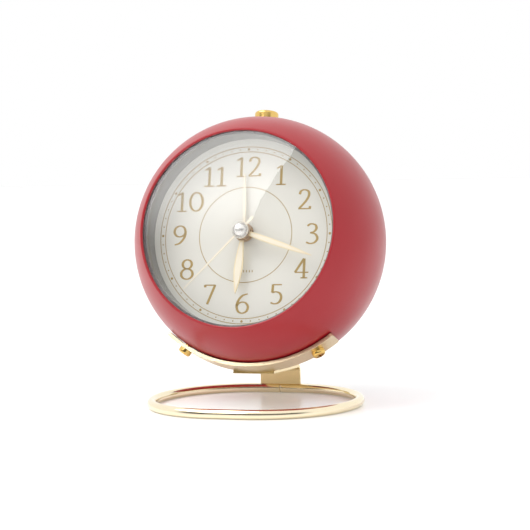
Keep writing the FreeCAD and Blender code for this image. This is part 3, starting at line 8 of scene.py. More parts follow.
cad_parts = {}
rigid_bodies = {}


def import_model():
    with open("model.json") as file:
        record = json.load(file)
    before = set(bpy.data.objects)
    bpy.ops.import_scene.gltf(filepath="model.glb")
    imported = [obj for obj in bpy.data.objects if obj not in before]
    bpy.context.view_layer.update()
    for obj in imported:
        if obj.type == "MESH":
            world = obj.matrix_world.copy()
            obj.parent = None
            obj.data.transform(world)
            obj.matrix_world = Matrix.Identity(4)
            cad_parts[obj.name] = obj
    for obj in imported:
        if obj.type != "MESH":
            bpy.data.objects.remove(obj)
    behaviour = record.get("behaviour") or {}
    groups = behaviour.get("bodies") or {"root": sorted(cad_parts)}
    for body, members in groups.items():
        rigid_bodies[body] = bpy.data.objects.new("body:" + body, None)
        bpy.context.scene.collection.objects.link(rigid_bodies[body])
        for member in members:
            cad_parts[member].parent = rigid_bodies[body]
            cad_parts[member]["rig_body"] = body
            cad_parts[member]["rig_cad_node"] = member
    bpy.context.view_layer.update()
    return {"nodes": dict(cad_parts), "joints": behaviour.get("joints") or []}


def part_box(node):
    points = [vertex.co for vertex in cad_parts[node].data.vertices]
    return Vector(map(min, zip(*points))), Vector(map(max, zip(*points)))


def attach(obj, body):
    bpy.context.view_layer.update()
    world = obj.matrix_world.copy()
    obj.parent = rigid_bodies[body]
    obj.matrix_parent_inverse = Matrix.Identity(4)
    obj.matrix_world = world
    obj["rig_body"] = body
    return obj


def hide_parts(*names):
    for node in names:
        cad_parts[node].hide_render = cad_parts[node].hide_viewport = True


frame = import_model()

mm = 0.001
print("frame loaded,", len(frame["nodes"]), "nodes")

# the clock's own frame: u to the dial's right, v up the dial, w out of the dial
jointNamed = {joint["name"]: joint for joint in frame["joints"]}
handJoint = jointNamed["minute_hand_turn"]
outOfDial = -np.array(handJoint["axis"], float)
upDial = np.array([0.0, outOfDial[2], -outOfDial[1]])
rightOfDial = np.array([1.0, 0.0, 0.0])
ballLow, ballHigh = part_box("ball_shell")
ballRadius = (ballHigh.x - ballLow.x) / 2
ballHeight = ballLow.z + ballRadius
pivot = np.array(handJoint["pos_m"], float)
ballCentre = pivot - outOfDial * (pivot[2] - ballHeight) / outOfDial[2]


def cadPoints(node):
    co = np.zeros(len(frame["nodes"][node].data.vertices) * 3)
    frame["nodes"][node].data.vertices.foreach_get("co", co)
    return co.reshape(-1, 3)


def reach(node, axis):
    # lowest and highest reach of a CAD node along an axis through the ball's centre
    along = (cadPoints(node) - ballCentre) @ axis
    return along.min(), along.max()


def inClock(points):
    # (u, v, w) of the clock's frame to the row frame, as whole arrays
    p = np.asarray(points, float)
    return ballCentre + p[..., 0:1] * rightOfDial + p[..., 1:2] * upDial + p[..., 2:3] * outOfDial


dialFace = reach("dial_plate", outOfDial)[1]


def meshPiece(name, points, faces, material, body="clock", smooth=True):
    mesh = bpy.data.meshes.new(name)
    mesh.from_pydata([tuple(p) for p in np.asarray(points).reshape(-1, 3)], [], [tuple(f) for f in faces])
    mesh.polygons.foreach_set("use_smooth", [smooth] * len(mesh.polygons))
    mesh.update()
    piece = bpy.data.objects.new(name, mesh)
    bpy.context.scene.collection.objects.link(piece)
    if material:
        piece.data.materials.append(material)
    if body:
        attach(piece, body)
    return piece


def gridFaces(rows, columns, closeRows=False, closeColumns=False, start=0):
    # quads of a rows by columns grid of points, joined round where asked
    i = np.arange(rows if closeRows else rows - 1)
    j = np.arange(columns if closeColumns else columns - 1)
    a, b = np.meshgrid(i, j, indexing="ij")
    below = (a + 1) % rows
    beside = (b + 1) % columns
    quads = np.stack([a * columns + b, a * columns + beside,
                      below * columns + beside, below * columns + b], -1)
    return quads.reshape(-1, 4) + start


def turnedPoints(profile, count):
    # (r cos a, r sin a, height) for every profile point and angle a
    profile = np.asarray(profile, float)
    a = np.linspace(0, 2 * np.pi, count, endpoint=False)
    u = profile[:, None, 0] * np.cos(a)
    v = profile[:, None, 0] * np.sin(a)
    w = np.broadcast_to(profile[:, None, 1], u.shape)
    return np.stack([u, v, w], -1)


def tidyNormals(piece, merge=1e-6):
    # merges doubles and points every face outwards
    work = bmesh.new()
    work.from_mesh(piece.data)
    bmesh.ops.remove_doubles(work, verts=work.verts, dist=merge)
    bmesh.ops.recalc_face_normals(work, faces=work.faces)
    work.to_mesh(piece.data)
    work.free()


def turnedPiece(name, profile, count, material, body="clock", place=inClock, closed=True):
    # a closed or open profile (radius, height) carried round the axis
    grid = turnedPoints(profile, count)
    faces = gridFaces(len(profile), count, closeRows=closed, closeColumns=True)
    piece = meshPiece(name, place(grid), faces, material, body)
    tidyNormals(piece)
    return piece


def arcProfile(centre, radius, startAngle, endAngle, count):
    # points of a circular arc in (radius, height), angles in degrees
    a = np.radians(np.linspace(startAngle, endAngle, count))
    return np.stack([centre[0] + radius * np.cos(a), centre[1] + radius * np.sin(a)], -1)


softening = {"merge": 2e-6, "flatAngle": 0.5}


def softened(node, material, width, segments=3, angle=35):
    # a merged copy of a CAD node with rounded edges, standing for it
    source = frame["nodes"][node]
    piece = source.copy()
    piece.data = source.data.copy()
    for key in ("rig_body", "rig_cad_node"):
        if key in piece:
            del piece[key]
    piece.name = node + "_finished"
    piece.parent = None
    piece.matrix_world = Matrix.Identity(4)
    bpy.context.scene.collection.objects.link(piece)
    work = bmesh.new()
    work.from_mesh(piece.data)
    bmesh.ops.remove_doubles(work, verts=work.verts, dist=softening["merge"])
    flat = math.radians(softening["flatAngle"])
    bmesh.ops.dissolve_limit(work, angle_limit=flat, verts=work.verts, edges=work.edges)
    work.to_mesh(piece.data)
    work.free()
    if piece.data.has_custom_normals:
        with bpy.context.temp_override(object=piece, active_object=piece, selected_objects=[piece]):
            bpy.ops.mesh.customdata_custom_splitnormals_clear()
    piece.data.materials.clear()
    piece.data.materials.append(material)
    piece.data.polygons.foreach_set("use_smooth", [True] * len(piece.data.polygons))
    bevel = piece.modifiers.new("rounded edges", "BEVEL")
    bevel.width = width
    bevel.segments = segments
    bevel.limit_method = "ANGLE"
    bevel.angle_limit = math.radians(angle)
    bevel.harden_normals = True
    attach(piece, source["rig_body"])
    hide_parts(node)
    return piece


def newGroup(name, inputs, outputs):
    group = bpy.data.node_groups.new(name, "ShaderNodeTree")
    for label, kind, value in inputs:
        socket = group.interface.new_socket(label, in_out="INPUT", socket_type=kind)
        if value is not None:
            socket.default_value = value
    for label, kind in outputs:
        group.interface.new_socket(label, in_out="OUTPUT", socket_type=kind)
    nodes = group.nodes
    return group, nodes, nodes.new("NodeGroupInput"), nodes.new("NodeGroupOutput")


def addNode(tree, kind, values=None, **settings):
    node = tree.nodes.new(kind)
    for key, value in settings.items():
        setattr(node, key, value)
    for key, value in (values or {}).items():
        node.inputs[key].default_value = value
    return node


def makeSpeckle():
    # fine grain as a bump, with a slow drift of the roughness
    group, nodes, given, result = newGroup(
        "fineGrain",
        [("Scale", "NodeSocketFloat", 900.0), ("Strength", "NodeSocketFloat", 0.1),
         ("Depth", "NodeSocketFloat", 0.00002), ("Roughness Low", "NodeSocketFloat", 0.3),
         ("Roughness High", "NodeSocketFloat", 0.4)],
        [("Normal", "NodeSocketVector"), ("Roughness", "NodeSocketFloat"), ("Drift", "NodeSocketFloat")])
    place = addNode(group, "ShaderNodeTexCoord")
    fine = addNode(group, "ShaderNodeTexNoise", {"Detail": 3.0, "Roughness": 0.6})
    slow = addNode(group, "ShaderNodeTexNoise", {"Scale": 55.0, "Detail": 4.0, "Roughness": 0.65})
    bump = addNode(group, "ShaderNodeBump")
    spread = addNode(group, "ShaderNodeMapRange", {"From Min": 0.3, "From Max": 0.7})
    link = group.links.new
    link(place.outputs["Object"], fine.inputs["Vector"])
    link(place.outputs["Object"], slow.inputs["Vector"])
    link(given.outputs["Scale"], fine.inputs["Scale"])
    link(fine.outputs["Fac"], bump.inputs["Height"])
    link(given.outputs["Strength"], bump.inputs["Strength"])
    link(given.outputs["Depth"], bump.inputs["Distance"])
    link(slow.outputs["Fac"], spread.inputs["Value"])
    link(given.outputs["Roughness Low"], spread.inputs["To Min"])
    link(given.outputs["Roughness High"], spread.inputs["To Max"])
    link(bump.outputs["Normal"], result.inputs["Normal"])
    link(spread.outputs["Result"], result.inputs["Roughness"])
    link(slow.outputs["Fac"], result.inputs["Drift"])
    return group


def makeBrushing():
    # long scratches: noise stretched along one axis of the piece
    group, nodes, given, result = newGroup(
        "brushedLines",
        [("Stretch", "NodeSocketVector", (60.0, 4000.0, 4000.0)), ("Strength", "NodeSocketFloat", 0.1),
         ("Roughness Low", "NodeSocketFloat", 0.2), ("Roughness High", "NodeSocketFloat", 0.35)],
        [("Normal", "NodeSocketVector"), ("Roughness", "NodeSocketFloat"), ("Lines", "NodeSocketFloat")])
    place = addNode(group, "ShaderNodeTexCoord")
    scale = addNode(group, "ShaderNodeVectorMath", operation="MULTIPLY")
    lines = addNode(group, "ShaderNodeTexNoise", {"Scale": 1.0, "Detail": 4.0, "Roughness": 0.7})
    bump = addNode(group, "ShaderNodeBump", {"Distance": 0.00001})
    spread = addNode(group, "ShaderNodeMapRange", {"From Min": 0.3, "From Max": 0.7})
    link = group.links.new
    link(place.outputs["Object"], scale.inputs[0])
    link(given.outputs["Stretch"], scale.inputs[1])
    link(scale.outputs["Vector"], lines.inputs["Vector"])
    link(lines.outputs["Fac"], bump.inputs["Height"])
    link(given.outputs["Strength"], bump.inputs["Strength"])
    link(lines.outputs["Fac"], spread.inputs["Value"])
    link(given.outputs["Roughness Low"], spread.inputs["To Min"])
    link(given.outputs["Roughness High"], spread.inputs["To Max"])
    link(bump.outputs["Normal"], result.inputs["Normal"])
    link(spread.outputs["Result"], result.inputs["Roughness"])
    link(lines.outputs["Fac"], result.inputs["Lines"])
    return group


fineGrain = makeSpeckle()
brushedLines = makeBrushing()


def grainMaterial(name, colour, deepColour, roughness, grain, metallic=0.0, coat=0.0, coatRoughness=0.1,
                  specular=0.5):
    # a finish with fine grain; colour drifts slowly between two close tones
    material = bpy.data.materials.new(name)
    material.use_nodes = True
    tree = material.node_tree
    shader = tree.nodes["Principled BSDF"]
    shader.inputs["Metallic"].default_value = metallic
    shader.inputs["Coat Weight"].default_value = coat
    shader.inputs["Coat Roughness"].default_value = coatRoughness
    shader.inputs["Specular IOR Level"].default_value = specular
    effect = addNode(tree, "ShaderNodeGroup", node_tree=fineGrain)
    effect.inputs["Scale"].default_value = grain["scale"]
    effect.inputs["Strength"].default_value = grain["strength"]
    effect.inputs["Depth"].default_value = grain.get("depth", 0.00002)
    effect.inputs["Roughness Low"].default_value = roughness[0]
    effect.inputs["Roughness High"].default_value = roughness[1]
    mix = addNode(tree, "ShaderNodeMix", data_type="RGBA")
    mix.inputs["A"].default_value = (*colour, 1)
    mix.inputs["B"].default_value = (*deepColour, 1)
    tree.links.new(effect.outputs["Drift"], mix.inputs["Factor"])
    tree.links.new(mix.outputs["Result"], shader.inputs["Base Color"])
    tree.links.new(effect.outputs["Roughness"], shader.inputs["Roughness"])
    tree.links.new(effect.outputs["Normal"], shader.inputs["Normal"])
    return material


def brushedMaterial(name, colour, deepColour, roughness, stretch, strength=0.1, metallic=1.0):
    material = bpy.data.materials.new(name)
    material.use_nodes = True
    tree = material.node_tree
    shader = tree.nodes["Principled BSDF"]
    shader.inputs["Metallic"].default_value = metallic
    effect = addNode(tree, "ShaderNodeGroup", node_tree=brushedLines)
    effect.inputs["Stretch"].default_value = stretch
    effect.inputs["Strength"].default_value = strength
    effect.inputs["Roughness Low"].default_value = roughness[0]
    effect.inputs["Roughness High"].default_value = roughness[1]
    mix = addNode(tree, "ShaderNodeMix", data_type="RGBA")
    mix.inputs["A"].default_value = (*colour, 1)
    mix.inputs["B"].default_value = (*deepColour, 1)
    tree.links.new(effect.outputs["Lines"], mix.inputs["Factor"])
    tree.links.new(mix.outputs["Result"], shader.inputs["Base Color"])
    tree.links.new(effect.outputs["Roughness"], shader.inputs["Roughness"])
    tree.links.new(effect.outputs["Normal"], shader.inputs["Normal"])
    return material


def clearGlass(name, tint, roughness):
    # clear pane: reflects like glass and lets lamps through, since it is too thin to bend light
    material = bpy.data.materials.new(name)
    material.use_nodes = True
    tree = material.node_tree
    shader = tree.nodes["Principled BSDF"]
    shader.inputs["Base Color"].default_value = (*tint, 1)
    shader.inputs["Roughness"].default_value = roughness
    shader.inputs["IOR"].default_value = 1.45
    shader.inputs["Transmission Weight"].default_value = 1.0
    clear = addNode(tree, "ShaderNodeBsdfTransparent", {"Color": (*tint, 1)})
    path = addNode(tree, "ShaderNodeLightPath")
    either = addNode(tree, "ShaderNodeMath", operation="MAXIMUM")
    blend = addNode(tree, "ShaderNodeMixShader")
    link = tree.links.new
    link(path.outputs["Is Shadow Ray"], either.inputs[0])
    link(path.outputs["Is Diffuse Ray"], either.inputs[1])
    link(either.outputs["Value"], blend.inputs["Fac"])
    link(shader.outputs["BSDF"], blend.inputs[1])
    link(clear.outputs["BSDF"], blend.inputs[2])
    link(blend.outputs["Shader"], tree.nodes["Material Output"].inputs["Surface"])
    return material


redPaint = grainMaterial("redPaint", (0.370, 0.010, 0.018), (0.340, 0.008, 0.014), (0.34, 0.42),
                         {"scale": 1500.0, "strength": 0.06}, coat=0.35, coatRoughness=0.28, specular=0.3)
paleGold = grainMaterial("paleGold", (0.93, 0.83, 0.62), (0.89, 0.78, 0.55), (0.10, 0.16),
                         {"scale": 2200.0, "strength": 0.03}, metallic=1.0)
deepGold = grainMaterial("deepGold", (0.83, 0.58, 0.20), (0.74, 0.48, 0.14), (0.12, 0.22),
                         {"scale": 2200.0, "strength": 0.04}, metallic=1.0)
strapGold = brushedMaterial("strapGold", (0.86, 0.73, 0.50), (0.78, 0.65, 0.42), (0.24, 0.36),
                            (120.0, 6000.0, 6000.0))
plateGold = brushedMaterial("plateGold", (0.84, 0.68, 0.38), (0.76, 0.59, 0.30), (0.18, 0.30),
                            (6000.0, 150.0, 6000.0))
handGold = grainMaterial("handGold", (0.86, 0.74, 0.50), (0.80, 0.68, 0.44), (0.3, 0.4),
                         {"scale": 2500.0, "strength": 0.03}, metallic=0.35)
hubGold = grainMaterial("hubGold", (0.58, 0.42, 0.28), (0.48, 0.33, 0.20), (0.22, 0.32),
                        {"scale": 2500.0, "strength": 0.03}, metallic=1.0)
dialCream = grainMaterial("dialCream", (0.755, 0.745, 0.68), (0.735, 0.72, 0.655), (0.45, 0.55),
                          {"scale": 3500.0, "strength": 0.05}, specular=0.4)
dialGilt = grainMaterial("dialGilt", (0.46, 0.33, 0.13), (0.40, 0.28, 0.10), (0.34, 0.44),
                         {"scale": 3000.0, "strength": 0.05}, metallic=0.35)
handCream = grainMaterial("handCream", (0.86, 0.79, 0.65), (0.82, 0.74, 0.58), (0.35, 0.45),
                          {"scale": 3000.0, "strength": 0.03})
bezelSilver = grainMaterial("bezelSilver", (0.42, 0.42, 0.425), (0.37, 0.37, 0.375), (0.14, 0.22),
                            {"scale": 2600.0, "strength": 0.02}, metallic=1.0)
chromeCap = grainMaterial("chromeCap", (0.90, 0.88, 0.84), (0.86, 0.84, 0.80), (0.22, 0.30),
                          {"scale": 2500.0, "strength": 0.02}, metallic=0.75)
sealGrey = grainMaterial("sealGrey", (0.30, 0.29, 0.29), (0.25, 0.24, 0.24), (0.6, 0.75),
                          {"scale": 2500.0, "strength": 0.2})
coverBlack = grainMaterial("coverBlack", (0.028, 0.028, 0.030), (0.022, 0.022, 0.024), (0.42, 0.56),
                           {"scale": 1600.0, "strength": 0.45, "depth": 0.00004})
knobBlack = grainMaterial("knobBlack", (0.035, 0.035, 0.037), (0.028, 0.028, 0.030), (0.30, 0.42),
                          {"scale": 1800.0, "strength": 0.2})
moulded = grainMaterial("mouldedWhite", (0.72, 0.71, 0.68), (0.68, 0.67, 0.64), (0.45, 0.55),
                        {"scale": 1500.0, "strength": 0.15})
gearPlastic = grainMaterial("gearPlastic", (0.78, 0.72, 0.58), (0.74, 0.68, 0.54), (0.38, 0.48),
                            {"scale": 2500.0, "strength": 0.08})
wheelBrass = grainMaterial("wheelBrass", (0.78, 0.58, 0.27), (0.70, 0.50, 0.21), (0.18, 0.30),
                           {"scale": 3000.0, "strength": 0.08}, metallic=1.0)
brightSteel = grainMaterial("brightSteel", (0.62, 0.62, 0.63), (0.55, 0.55, 0.57), (0.18, 0.30),
                            {"scale": 2600.0, "strength": 0.06}, metallic=1.0)
copperWire = brushedMaterial("copperWire", (0.66, 0.26, 0.11), (0.50, 0.18, 0.07), (0.25, 0.4),
                             (9000.0, 200.0, 200.0), 0.5)
boardGreen = grainMaterial("boardGreen", (0.04, 0.19, 0.08), (0.03, 0.15, 0.06), (0.25, 0.4),
                           {"scale": 1200.0, "strength": 0.1})
epoxyBlack = grainMaterial("epoxyBlack", (0.02, 0.02, 0.02), (0.03, 0.03, 0.03), (0.3, 0.45),
                           {"scale": 2200.0, "strength": 0.15})
cellSleeve = grainMaterial("cellSleeve", (0.10, 0.11, 0.13), (0.08, 0.09, 0.10), (0.22, 0.32),
                           {"scale": 900.0, "strength": 0.03}, coat=0.4)
paneGlass = clearGlass("paneGlass", (1.0, 1.0, 1.0), 0.0)
print("materials made")

nodeFinish = {
    "base_ring": paleGold, "support_plate": plateGold, "saddle_strap": strapGold, "saddle_screws": deepGold,
    "saddle_nuts": brightSteel, "ball_shell": redPaint, "lens": paneGlass, "lens_gasket": sealGrey,
    "inner_bezel": bezelSilver, "dial_plate": dialCream, "mounting_ring": moulded,
    "movement_front_case": moulded, "train_plate": moulded, "movement_back_case": coverBlack,
    "second_wheel": wheelBrass, "transfer_wheel": gearPlastic, "rotor": brightSteel, "stator": brightSteel,
    "motor_coil": copperWire, "cannon_pinion": wheelBrass, "minute_wheel": gearPlastic,
    "hour_wheel": gearPlastic, "alarm_wheel": gearPlastic, "alarm_hand": handCream, "hour_hand": handGold,
    "hour_hand_inlay": handCream, "minute_hand": handGold, "minute_hand_inlay": handCream,
    "second_hand": handCream, "hand_cap": chromeCap, "battery_cell": cellSleeve,
    "battery_plus_contact": brightSteel, "battery_spring_contact": brightSteel, "circuit_board": boardGreen,
    "control_chip": epoxyBlack, "quartz_crystal": brightSteel, "buzzer": epoxyBlack, "rear_cover": coverBlack,
    "rear_cover_screws": brightSteel, "time_set_knob": knobBlack, "alarm_set_knob": knobBlack,
    "alarm_switch": moulded, "battery_door": coverBlack, "snooze_button": deepGold, "button_holder": moulded,
    "button_spring": brightSteel, "switch_board": boardGreen, "button_switch": epoxyBlack,
}
for nodeName, finish in nodeFinish.items():
    data = frame["nodes"][nodeName].data
    data.materials.clear()
    data.materials.append(finish)

ball = {"wall": 1.0 * mm, "rimRound": 0.55 * mm, "around": 256, "along": 96, "rimTurn": 12, "rimSteps": 10,
        "buttonHole": 5.0 * mm, "cutterLength": 60 * mm, "cutterAround": 64}
frontOpening = 38.2 * mm
rearPlane = -reach("ball_shell", outOfDial)[0]


def makeBall():
    # the wall's two arcs about the ball's centre, joined by a rolled front rim and a flat rear rim
    outer = ballRadius
    inner = ballRadius - ball["wall"]
    rimCentreRadius = frontOpening + ball["rimRound"]
    rimTouch = outer - ball["rimRound"]
    rimHeight = math.sqrt(rimTouch ** 2 - rimCentreRadius ** 2)
    outerStart = math.degrees(math.asin(-rearPlane / outer))
    outerEnd = math.degrees(math.atan2(rimHeight, rimCentreRadius))
    profile = np.concatenate([
        arcProfile((0, 0), outer, outerStart, outerEnd, ball["along"]),
        arcProfile((rimCentreRadius, rimHeight), ball["rimRound"], outerEnd + ball["rimTurn"], 180,
                   ball["rimSteps"]),
        [[frontOpening, math.sqrt(inner ** 2 - frontOpening ** 2)]],
        arcProfile((0, 0), inner, math.degrees(math.acos(frontOpening / inner)),
                   math.degrees(math.asin(-rearPlane / inner)), ball["along"]),
    ])
    shell = turnedPiece("ball_skin", profile, ball["around"], redPaint)
    holeRadius = ball["buttonHole"]
    length = ball["cutterLength"]
    hole = turnedPiece("button_hole_cutter", [[0, 0], [holeRadius, 0], [holeRadius, length], [0, length]],
                       ball["cutterAround"], None, body=None, place=alongButton, closed=False)
    cut = shell.modifiers.new("button hole", "BOOLEAN")
    cut.object = hole
    cut.operation = "DIFFERENCE"
    cut.solver = "EXACT"
    applyModifiers(shell)
    bpy.data.objects.remove(hole)
    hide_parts("ball_shell")
    return shell


def alongButton(points):
    # (x, y, z) with z up the button's stroke
    p = np.asarray(points, float)
    return ballCentre + p[..., 0:1] * rightOfDial - p[..., 1:2] * outOfDial + p[..., 2:3] * upDial


def applyModifiers(piece):
    bpy.context.view_layer.update()
    ready = piece.evaluated_get(bpy.context.evaluated_depsgraph_get())
    mesh = bpy.data.meshes.new_from_object(ready)
    piece.modifiers.clear()
    old = piece.data
    piece.data = mesh
    bpy.data.meshes.remove(old)
    mesh.polygons.foreach_set("use_smooth", [True] * len(mesh.polygons))


makeBall()
print("ball made")

ringLow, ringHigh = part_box("base_ring")
wire = {"radius": 1.9 * mm, "flat": 0.1 * mm, "around": 40, "seam": 0.2 * mm, "seamRound": 0.15 * mm,
        "seamShare": 0.92, "bendSteps": 97, "straightSteps": 9}


def makeRing():
    # a round section with a ground flat, carried along two straight runs and two half circles
    endRadius = (ringHigh.y - ringLow.y) / 2 - wire["radius"]
    half = (ringHigh.x - ringLow.x) / 2 - wire["radius"] - endRadius
    middleY = (ringHigh.y + ringLow.y) / 2
    halfTurn = np.linspace(0, np.pi, wire["bendSteps"])
    straight = np.linspace(0, 1, wire["straightSteps"])[1:-1]
    gap = wire["seam"] / 2
    path = [[(gap, endRadius, 0, 1)], [(gap + wire["seamRound"], endRadius, 0, 1)]]
    path.append([(gap + (half - gap) * s, endRadius, 0, 1) for s in straight])
    path.append([(half + endRadius * math.sin(a), endRadius * math.cos(a), math.sin(a), math.cos(a))
                 for a in halfTurn])
    path.append([(half - 2 * half * s, -endRadius, 0, -1) for s in straight])
    path.append([(-half - endRadius * math.sin(a), -endRadius * math.cos(a), -math.sin(a), -math.cos(a))
                 for a in halfTurn])
    path.append([(-half + (half - gap) * s, endRadius, 0, 1) for s in straight])
    path += [[(-gap - wire["seamRound"], endRadius, 0, 1)], [(-gap, endRadius, 0, 1)]]
    path = np.array([p for run in path for p in run])
    a = np.linspace(0, 2 * np.pi, wire["around"], endpoint=False)
    shrink = np.ones(len(path))
    shrink[[0, -1]] = wire["seamShare"]
    across = wire["radius"] * np.cos(a)[None, :] * shrink[:, None]
    height = wire["radius"] * np.sin(a)[None, :] * shrink[:, None]
    height = np.maximum(height, wire["flat"] - wire["radius"])
    x = path[:, 0:1] + path[:, 2:3] * across
    y = path[:, 1:2] + path[:, 3:4] * across + middleY
    z = height + wire["radius"] - wire["flat"]
    points = np.stack([x, y, z], -1)
    faces = [list(f) for f in gridFaces(len(path), len(a), closeColumns=True)]
    faces.append(list(range(len(a))))
    faces.append(list(range((len(path) - 1) * len(a), len(path) * len(a)))[::-1])
    ring = meshPiece("wire_ring", points, faces, paleGold)
    tidyNormals(ring)
    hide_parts("base_ring")


makeRing()
softened("support_plate", plateGold, 0.18 * mm)
softened("saddle_strap", strapGold, 0.22 * mm)
softened("saddle_screws", deepGold, 0.12 * mm, 2)
rearPieces = (
    ("rear_cover", coverBlack, 0.20), ("battery_door", coverBlack, 0.20), ("time_set_knob", knobBlack, 0.15),
    ("alarm_set_knob", knobBlack, 0.15), ("alarm_switch", moulded, 0.15),
    ("rear_cover_screws", brightSteel, 0.08),
)
for rearNode, rearFinish, rearRound in rearPieces:
    softened(rearNode, rearFinish, rearRound * mm, 2)
softened("snooze_button", deepGold, 0.10 * mm, 2, 50)
print("stand made")

printing = {"ink": 0.05 * mm, "trackOut": 34.9 * mm, "trackIn": 32.9 * mm, "dotRing": 33.95 * mm,
            "innerCircle": 18.8 * mm, "line": 0.13 * mm, "dot": 0.27 * mm, "bigDot": 0.5 * mm,
            "turn": -0.45, "drop": 0.6 * mm,
            "figureRing": 26.9 * mm, "figureHeight": 7.9 * mm, "thick": 0.064, "thin": 0.031, "space": 0.1,
            "lineSteps": 26, "taper": 1.3, "around": 240, "dotAround": 16, "dotTop": 0.9,
            "barStep": 1.15, "barHalf": 0.45, "barThick": 0.16, "barsBelow": 14.4 * mm, "barsEachSide": 3}


def flatBand(inner, outer, count):
    # a thin raised ring on the dial
    low = dialFace
    high = dialFace + printing["ink"]
    profile = np.array([[inner, low], [inner, high], [outer, high], [outer, low]])
    return turnedPoints(profile, count), gridFaces(4, count, closeRows=True, closeColumns=True)


def smoothLine(points, count):
    # Catmull-Rom curve through the points, as an array
    p = np.asarray(points, float)
    if len(p) == 2:
        return p[0] + (p[1] - p[0]) * np.linspace(0, 1, 2)[:, None]
    ends = np.concatenate([[2 * p[0] - p[1]], p, [2 * p[-1] - p[-2]]])
    t = np.linspace(0, len(p) - 1, count)
    k = np.minimum(t.astype(int), len(p) - 2)
    s = (t - k)[:, None]
    a, b, c, d = ends[k], ends[k + 1], ends[k + 2], ends[k + 3]
    bend = (2 * a - 5 * b + 4 * c - d) * s ** 2 + (3 * b - a - 3 * c + d) * s ** 3
    return 0.5 * (2 * b + (c - a) * s + bend)


def penStroke(points, thick, thin):
    # a band along a line, wide where the line is upright and narrow where it lies flat
    line = smoothLine(points, printing["lineSteps"])
    along = np.gradient(line, axis=0)
    along /= np.linalg.norm(along, axis=1)[:, None] + 1e-12
    half = thin + (thick - thin) * np.abs(along[:, 1:2]) ** printing["taper"]
    side = np.stack([-along[:, 1], along[:, 0]], -1) * half
    low = np.concatenate([line - side, np.zeros((len(line), 1))], 1)
    high = np.concatenate([line + side, np.zeros((len(line), 1))], 1)
    lift = np.array([0, 0, 1.0])
    grid = np.stack([low, low + lift, high + lift, high], 1)
    faces = [list(f) for f in gridFaces(len(line), 4, closeColumns=True)]
    last = (len(line) - 1) * 4
    faces += [[3, 2, 1, 0], [last, last + 1, last + 2, last + 3]]
    return grid.reshape(-1, 3), faces


def loop(x, y, rx, ry):
    a = np.linspace(0, 2 * np.pi, 17)
    return [(x + rx * math.sin(k), y + ry * math.cos(k)) for k in a]


figureStrokes = {
    "0": (0.62, [loop(0.31, 0.5, 0.25, 0.47)]),
    "1": (0.42, [[(0.23, 0.0), (0.23, 0.98)], [(0.23, 0.97), (0.15, 0.90), (0.05, 0.85)],
                 [(0.04, 0.03), (0.42, 0.03)]]),
    "2": (0.58, [[(0.07, 0.76), (0.13, 0.92), (0.29, 0.98), (0.47, 0.90), (0.50, 0.70), (0.38, 0.44),
                  (0.20, 0.21), (0.05, 0.04)], [(0.03, 0.04), (0.56, 0.04)], [(0.55, 0.02), (0.57, 0.16)]]),
    "3": (0.56, [[(0.08, 0.88), (0.22, 0.98), (0.40, 0.93), (0.45, 0.76), (0.36, 0.60), (0.20, 0.54)],
                 [(0.20, 0.54), (0.40, 0.48), (0.50, 0.28), (0.41, 0.08), (0.22, 0.01), (0.05, 0.08)]]),
    "4": (0.64, [[(0.41, 0.98), (0.03, 0.30)], [(0.02, 0.30), (0.62, 0.30)], [(0.42, 0.98), (0.42, 0.0)],
                 [(0.28, 0.03), (0.58, 0.03)]]),
    "5": (0.54, [[(0.12, 0.95), (0.50, 0.95)], [(0.13, 0.96), (0.11, 0.56)],
                 [(0.11, 0.56), (0.27, 0.60), (0.43, 0.52), (0.49, 0.32), (0.41, 0.09), (0.22, 0.01),
                  (0.05, 0.07)]]),
    "6": (0.60, [[(0.50, 0.96), (0.30, 0.88), (0.14, 0.64), (0.08, 0.34), (0.15, 0.09), (0.31, 0.01),
                  (0.47, 0.10), (0.53, 0.31), (0.45, 0.50), (0.30, 0.56), (0.15, 0.49), (0.08, 0.36)]]),
    "7": (0.56, [[(0.03, 0.95), (0.55, 0.95)], [(0.53, 0.96), (0.17, 0.0)], [(0.04, 0.96), (0.04, 0.84)]]),
    "8": (0.58, [loop(0.29, 0.755, 0.19, 0.225), loop(0.29, 0.27, 0.24, 0.26)]),
    "9": (0.60, [[(0.10, 0.04), (0.30, 0.12), (0.46, 0.36), (0.52, 0.66), (0.45, 0.91), (0.29, 0.99),
                  (0.13, 0.90), (0.07, 0.69), (0.15, 0.50), (0.30, 0.44), (0.45, 0.51), (0.52, 0.64)]]),
}
figureStretch = {"0": 1.3, "1": 1.3, "2": 1.1, "3": 1.25, "4": 1.15, "5": 1.2, "6": 1.3, "7": 1.05,
                 "8": 1.25, "9": 1.3}


